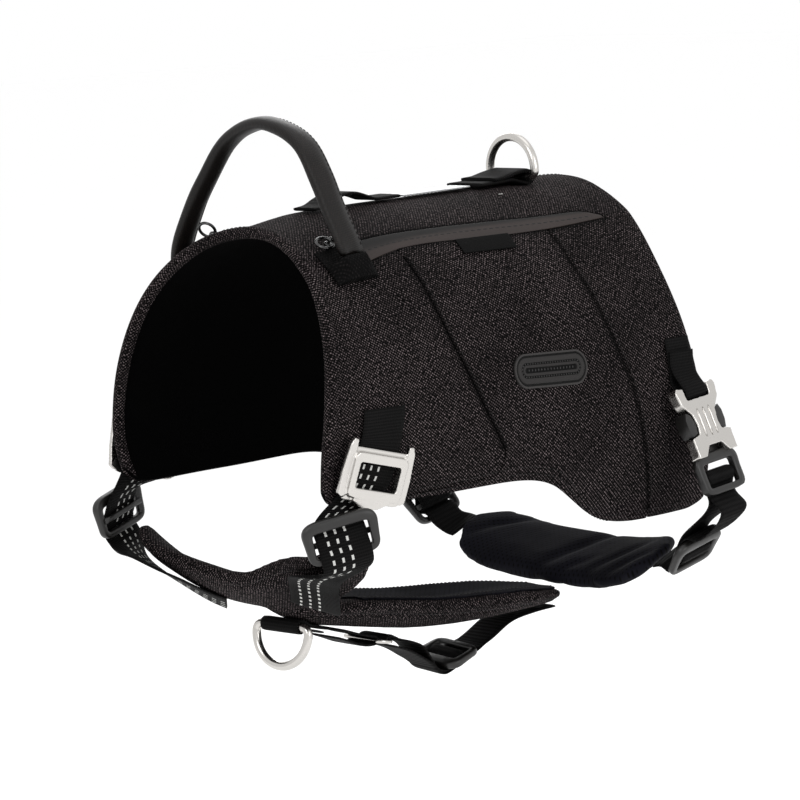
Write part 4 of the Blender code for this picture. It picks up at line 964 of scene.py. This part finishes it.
patch_cloth = woven("patch nylon", "patch_nylon", "#020202", "#1a1717", 1.5 * MM, 0.75)
for side, sign, start, middle_y in HANDLE_BASES:
    patch = refined(f"handle_patch_{side}", f"handle_base_{side}", 2, 0.4)
    map_cloth(patch, round_the_coat)
    dress(patch, patch_cloth, f"handle_base_{side}")
    face = outside_of(patch)
    high, low = (start + degrees for degrees in BOX_ROWS)
    front, rear = middle_y - BOX_HALF, middle_y + BOX_HALF
    box = [[skin(sign * d, y) for d in np.linspace(high, low, 20)] for y in (front, rear)]
    box += [[skin(sign * d, y) for y in np.linspace(front, rear, 20)] for d in (high, low)]
    sew(f"patch_stitching_{side}", [lay_on(face, row, 0.12) for row in box], black_thread)


# ---------------------------------------------------------------- the chest piece
# A padded Y of the coat's nylon over foam, turned and sewn round its edge, with a spacer mesh on the
# tongue's inner face. The padding is swelled by a short cloth simulation, then its seams are drawn in.
ARM = (  # left top to right top: (x, y, z, across x, y, z, half width)
    (87, -149.5, -185, 0.66, 0.72, 0.15, 13), (80, -149, -190.5, 0.65, 0.72, 0, 18),
    (60, -146.5, -198.5, 0.58, 0.7, -0.35, 22), (35, -143.5, -207, 0.38, 0.76, -0.52, 24),
    (12, -142, -213.5, 0.15, 0.84, -0.52, 24), (-12, -143.5, -214.8, -0.15, 0.84, -0.52, 23),
    (-38, -148, -211, -0.4, 0.74, -0.5, 21), (-62, -151.6, -203.5, -0.6, 0.7, -0.3, 18),
    (-80, -154, -193.5, -0.66, 0.72, 0, 15), (-87, -154.5, -187, -0.66, 0.72, 0.15, 12),
)
TONGUE_EDGE = (  # (y, z, half width) of the tongue's rim
    (-122, -225, 20), (-117, -226, 23), (-88, -229, 31), (-60, -233.5, 33), (-25, -239.5, 33),
    (25, -244.5, 31), (60, -248, 27), (84, -251.5, 19), (93, -253.5, 10),
)
PAD_SEAM_IN, PAD_SEAM_DEEP, PAD_SEAM_WIDE = 4.2, 0.9, 2.4
PUFF_VOXEL, PUFF_PRESSURE, PUFF_MOST = 2.6, 3.0, 2.0  # the last is the most it may swell
PUFF_FRAMES = 12
MESH_DARK, MESH_LIGHT = "#010101", "#121219"
HOLE_SPACING, HOLE_SHARE = 2.9 * MM, 0.24
LINER_AIR, LINER_THICK = 0.15, 1.25


def evened(name, node, voxel_mm, rounds):
    """A copy of a CAD node in small even faces, its edges softened by some rounds of smoothing."""
    piece = refined(name, node, 0, 0)
    remesh = piece.modifiers.new("even faces", "REMESH")
    remesh.mode = "VOXEL"
    remesh.voxel_size = voxel_mm * MM
    soften = piece.modifiers.new("softened edges", "SMOOTH")
    soften.factor, soften.iterations = 0.5, rounds
    return baked(piece)


def puffed(name, node):
    """A padded piece: the CAD solid in even faces, swelled as cloth and held within a cap."""
    piece = evened(name, node, PUFF_VOXEL, 3)
    before = vertex_rows(piece.data)
    swell = piece.modifiers.new("swell", "CLOTH")
    swell.settings.use_pressure = True
    swell.settings.uniform_pressure_force = PUFF_PRESSURE
    swell.settings.effector_weights.gravity = 0
    swell.settings.quality = 4
    for step in range(PUFF_FRAMES):
        bpy.context.scene.frame_set(step + 1)
    baked(piece)
    bpy.context.scene.frame_set(1)
    moved = vertex_rows(piece.data) - before
    length = np.linalg.norm(moved, axis=1, keepdims=True)
    moved *= np.minimum(1, PUFF_MOST * MM / np.maximum(length, 1e-9))
    piece.data.vertices.foreach_set("co", (before + moved).ravel())
    piece.data.update()
    finer = piece.modifiers.new("finer", "SUBSURF")
    finer.levels = finer.render_levels = 1
    return baked(piece)


def spacer_mesh():
    """Knitted spacer mesh: a soft face with rows of round holes, each row set half a hole along; the holes
    are painted dark as the shade in them.
    """
    look, tree, shader = finish("spacer mesh", "mesh_lining", Roughness=0.85, Specular_IOR_Level=0.07)
    uv = source(tree, "cloth")
    cells = put(tree, "ShaderNodeMapping", {"Vector": uv, "Rotation": (0, 0, math.radians(45)),
                                            "Scale": (1 / HOLE_SPACING,) * 3}).outputs[0]
    squares = []
    for way in put(tree, "ShaderNodeSeparateXYZ", {0: cells}).outputs[:2]:
        off_middle = maths(tree, "SUBTRACT", maths(tree, "FRACT", way), 0.5)
        squares.append(maths(tree, "POWER", off_middle, 2.0))
    away = maths(tree, "POWER", maths(tree, "ADD", *squares), 0.5)
    face = ranged(tree, away, HOLE_SHARE * 0.55, HOLE_SHARE * 1.25)
    worn = cloud(tree, source(tree, "place"), 25.0, 4.0)
    # Painted shade: the holes dark, the face between them lighter and unevenly worn.
    share = maths(tree, "MULTIPLY", maths(tree, "MULTIPLY", face, worn), 1.5, use_clamp=True)
    height = maths(tree, "ADD", face, maths(tree, "MULTIPLY", cloud(tree, uv, 1400.0, 1.0), 0.2))
    wire(tree, shader, between(tree, share, MESH_DARK, MESH_LIGHT), height, 0.3, 0.5)
    return look


def settle(sheet, under):
    """Lays a sheet down on the padding under it, so that it follows its crown and dips at its edge."""
    laid = []
    for place, way in zip(vertex_rows(sheet.data), vertex_rows(sheet.data, "normal")):
        near, normal, _, _ = under.find_nearest(Vector(place))
        lift = LINER_AIR if way[2] < -0.5 else LINER_AIR + LINER_THICK
        laid.append(near + normal * lift * MM)
    sheet.data.vertices.foreach_set("co", np.array(laid).ravel())
    sheet.data.update()


def lay_flat(places, ways):
    """Cloth map from the side that each face looks to, so the weave is stretched nowhere by much."""
    x, y, z = places.T
    side = np.abs(ways).argmax(1)
    return np.choose(side, (y, x, x)), np.choose(side, (z, z, y))


def chest_seams():
    """The rows where the chest piece's faces are sewn: both edges of the arms and the tongue's rim."""
    rows = smooth_rows(ARM, 6.0)
    seams = []
    for edge in (1, -1):
        row = []
        for place in rows:
            across = place[3:6] / np.linalg.norm(place[3:6])
            along = rows[min(len(rows) - 1, len(row) + 1)][:3] - rows[max(0, len(row) - 1)][:3]
            out = np.cross(across, along / np.linalg.norm(along))
            out *= -np.sign(out[2]) if abs(out[2]) > 0.3 else -np.sign(out[1])
            row.append(Vector(place[:3] + edge * (place[6] - PAD_SEAM_IN) * across - 8 * out * (out[2] > 0)
                              + 8 * out * (out[2] <= 0)) * MM)
        seams.append(row)
    for side in (1, -1):
        rim = smooth_rows([(side * half, y, z) for y, z, half in TONGUE_EDGE], 6.0)
        seams.append([Vector((x - side * 1.5, y, z - 9)) * MM for x, y, z in rim])
    return seams


pad = puffed("chest_padding", "chest_pad")
pad_face = outside_of(pad)
seams = [[place for place, _ in lay_on(pad_face, row, 0)] for row in chest_seams()]
nearest = off_lines(vertex_rows(pad.data), seams)
pushed(pad, -PAD_SEAM_DEEP * np.exp(-(nearest / (PAD_SEAM_WIDE * MM)) ** 2))
map_faces(pad, lay_flat)
shade_seams(pad, np.ones(len(pad.data.vertices)))
dress(pad, nylon, "chest_pad")
pad_face = outside_of(pad)
sew("chest_stitching", [lay_on(pad_face, row) for row in seams], black_thread)
mesh_cloth = spacer_mesh()
chest_mesh = refined("chest_mesh_lining", "chest_lining", 2, 0.4)
settle(chest_mesh, pad_face)
map_cloth(chest_mesh, lambda p: (p[:, 0], p[:, 1]))
dress(chest_mesh, mesh_cloth, "chest_lining")
mesh_face = outside_of(chest_mesh)
edge_rows = []
for side in (1, -1):
    rim = [(side * (half - 7.5), y, z + 12) for y, z, half in TONGUE_EDGE[2:-1]]
    edge_rows.append(lay_on(mesh_face, [Vector(p) * MM for p in smooth_rows(rim, 5)]))
sew("mesh_stitching", edge_rows, black_thread)

strap("chest_ring_fold", "ring_fold", 28, fine_web)
lead_ring("chest_lead_ring", "chest_ring")


# ---------------------------------------------------------------- front straps
# At each shoulder a stamped and buffed steel buckle hangs from a sewn tab. The webbing from it, with three
# columns of silver yarn, runs through a moulded ladder-lock and is sewn down on the chest piece's arm.
PLASTIC_COLOUR, PLASTIC_RUBBED = "#070706", "#131110"
FRONT_SLIDERS = {  # centre, and the ways across and down
    "L": ((96.7, -161.6, -172.6), (0.45, 0.87, 0.2), (-0.05, 0.1, -0.99)),
    "R": ((-98.7, -165, -173), (0.25, -0.95, -0.2), (0.05, 0.1, -0.99)),
}
WINDOW_HIGH, RAILS_DEEP = 15.0, 1.6
UPPER_RAIL, LOWER_RAIL, END_RAIL = (6.6, 5.4), (4.2, 4.2), (5.2, 4.4)  # (in its plane, through it)
WEB_ROOM, BAR_IN, BAR_HALF = 1.5, 1.6, (1.7, 1.1)  # beside the webbing; the middle bar: how far in, its half
LOCK_STEPS, LOCK_SIDES, LOCK_POWER, BAR_RINGS = 72, 16, 3.4, 5
SILVER_AT = 2.8 * MM  # the middle column of silver yarn, from the webbing's middle


def cast(name, node, look, voxel_mm, rounds):
    """A steel piece with the soft edges of casting or tumbling, from its CAD solid."""
    dress(evened(name, node, voxel_mm, rounds), look, node)


def place_in(pose, a, b, c):
    """A point at (across, down, out) from a flat piece's centre."""
    centre, across, down = (np.array(v, float) for v in pose)
    across = across / np.linalg.norm(across)
    down = down - (down @ across) * across
    down = down / np.linalg.norm(down)
    return centre + a * across + b * down + c * np.cross(down, across)


def squircle(half_width, half_height, power, sides):
    """Points on a superellipse, which a high power makes nearly square."""
    turn = np.linspace(0, 2 * math.pi, sides, endpoint=False)
    c, s = np.cos(turn), np.sin(turn)
    return np.stack([half_width * np.sign(c) * np.abs(c) ** (2 / power),
                     half_height * np.sign(s) * np.abs(s) ** (2 / power)], 1)


def ladder_lock(name, pose, webbing, node=None):
    """A moulded ladder-lock: a frame with a broad crowned upper rail for the thumb, and a middle bar."""
    half = webbing / 2 + WEB_ROOM
    points = []
    for a, b in squircle(half, WINDOW_HIGH / 2, 12, LOCK_STEPS):
        upper, lower = max(0.0, -b / (WINDOW_HIGH / 2)) ** 2, max(0.0, b / (WINDOW_HIGH / 2)) ** 2
        ends = 1 - min(upper + lower, 1)
        wide, high = (UPPER_RAIL[k] * upper + LOWER_RAIL[k] * lower + END_RAIL[k] * ends for k in (0, 1))
        out = np.array((a / half, b / (WINDOW_HIGH / 2)))
        out = np.sign(out) * np.abs(out) ** 5
        out /= np.linalg.norm(out)
        for s, c in squircle(wide / 2, high / 2, LOCK_POWER, LOCK_SIDES):
            crown = 0.28 * (s / wide + 0.5) * upper * 2
            in_plane = np.array((a, b)) + (s + wide / 2) * out
            points.append(place_in(pose, *in_plane, c + high / 2 - RAILS_DEEP - crown) * MM)
    start = len(points)
    for a in np.linspace(-half - WEB_ROOM, half + WEB_ROOM, BAR_RINGS):
        ring = squircle(*BAR_HALF, LOCK_POWER, LOCK_SIDES)
        points += [place_in(pose, a, s, c - BAR_IN) * MM for s, c in ring]
    faces = tube(LOCK_STEPS, LOCK_SIDES, closed=True) + tube(BAR_RINGS, LOCK_SIDES, start)
    dress(solid(name, points, faces), acetal, node)


dashed_web = grosgrain("grosgrain webbing with silver yarn", FINE_RIB, SILVER_AT)
acetal = moulded("moulded acetal", "moulded_plastic", PLASTIC_COLOUR, PLASTIC_RUBBED, 0.4, 0.45, 0.03)
for side in ("L", "R"):
    strap(f"shoulder_tab_{side}", f"front_tab_{side}", 30, fine_web)
    strap(f"shoulder_web_{side}", f"front_strap_{side}", 27, dashed_web, wider=1.11)
    cast(f"shoulder_buckle_{side}", f"front_buckle_{side}", buffed_steel, 0.42, 4)
    ladder_lock(f"shoulder_slider_{side}", FRONT_SLIDERS[side], 30, f"front_slider_{side}")


# ---------------------------------------------------------------- rear straps
# On each flank a tab holds a cast steel side-release shell, with three flutes down its waist. Its plastic
# half ends in a ladder-lock; coarse-ribbed webbing goes from there through a slider to the belly pad.
REAR_BUCKLES = {  # centre, and the ways across and down
    "L": ((118, 108, -141.7), (-0.09, 0.995, 0.067), (0.342, 0.093, -0.935)),
    "R": ((-118, 101, -139), (-0.09, -0.995, -0.067), (-0.342, 0.093, -0.935)),
}
BELLY_SLIDERS = {
    "L": ((111, 106, -221), (0, 0.978, 0.207), (-0.6, 0, -0.8)),
    "R": ((-113, 100, -208), (0, -0.978, -0.207), (0.6, 0, -0.8)),
}
LOCK_DOWN, FLUTES_AT, FLUTES_HALF = 33.0, (1.0, 7.6), 5.4  # flutes: (down, out) and half their row
FLUTE_SIZE = (2.6 * MM, 19 * MM, 1.5 * MM)
coarse_web = grosgrain("coarse grosgrain webbing", COARSE_RIB)
cast_steel = steel("cast and tumbled steel", 0.02)
for side in ("L", "R"):
    strap(f"flank_tab_{side}", f"rear_tab_{side}", 20, fine_web)
    cast(f"release_shell_{side}", f"rear_buckle_{side}", cast_steel, 0.5, 10)
    machined(f"release_prongs_{side}", f"rear_lock_{side}", 0.8, acetal)
    strap(f"belly_web_{side}", f"belly_strap_{side}", 25, coarse_web)
    ladder_lock(f"belly_slider_body_{side}", BELLY_SLIDERS[side], 25, f"belly_slider_{side}")
    pose = REAR_BUCKLES[side]
    ladder_lock(f"release_frame_{side}", (place_in(pose, 0, LOCK_DOWN, 1), *pose[1:]), 25)
    flutes = [place_in(pose, a, *FLUTES_AT) * MM for a in np.linspace(-FLUTES_HALF, FLUTES_HALF, 9)]
    face = np.cross(pose[2], pose[1])
    row = [(Vector(p), Vector(face / np.linalg.norm(face))) for p in flutes]
    sew(f"release_flutes_{side}", [row], cast_steel, 2 * FLUTES_HALF / 3 * MM, *FLUTE_SIZE)


# ---------------------------------------------------------------- the belly pad
# A foam band in perforated mesh, narrow where it goes into the straps, with the slanting creases that such
# a band takes where it is bent.
BELLY_ACROSS = np.array((0, 0.93, 0.37))
BELLY_CREASES = (  # (along x, across, along x, across, depth, width)
    (-10, -24, 24, 24, 2.6, 9), (36, -22, 66, 8, 2.0, 7), (54, -24, 80, -4, 1.6, 6),
    (-74, 4, -52, 24, 1.4, 7), (-82, -12, -58, 20, 1.4, 7), (8, -26, 34, -8, 1.2, 6),
)


def across_belly(places):
    """Cloth map of the belly pad: along x, and across its slanting face."""
    return places[:, 0], places @ BELLY_ACROSS


belly = puffed("belly_padding", "belly_pad")
along, across = across_belly(vertex_rows(belly.data))
flat = np.stack([along, across - np.median(across)], 1) / MM
sink = sum(depth * trough(flat, (x0, a0), (x1, a1), width) for x0, a0, x1, a1, depth, width in BELLY_CREASES)
pushed(belly, -sink)
map_cloth(belly, across_belly)
dress(belly, mesh_cloth, "belly_pad")


# ---------------------------------------------------------------- under the chest
# A tab and a round steel loop under the tongue, and the strap from it through a slider to the belly pad.
FOLD_CUT, FOLD_ALONG = (0.025, 0.071), Vector((0, 1, 0.3)).normalized()  # the cut in metres
CHEST_SLIDER = ((0, 2, -277.5), (-1, 0, 0.07), (0, 0.956, 0.29))  # centre, and the ways across and down
dress(refined("keeper_loop", "keeper", 2, 0), buffed_steel, "keeper")
chest_fold = refined("chest_tab_fold", "chest_tab", 2, 0.4)
map_cloth(chest_fold, lambda places: (places[:, 0], places @ np.array(FOLD_ALONG)))
dress(chest_fold, coarse_web, "chest_tab")
strap("chest_web", "chest_strap", 25, coarse_web)
ladder_lock("chest_slider_body", CHEST_SLIDER, 25, "chest_slider")
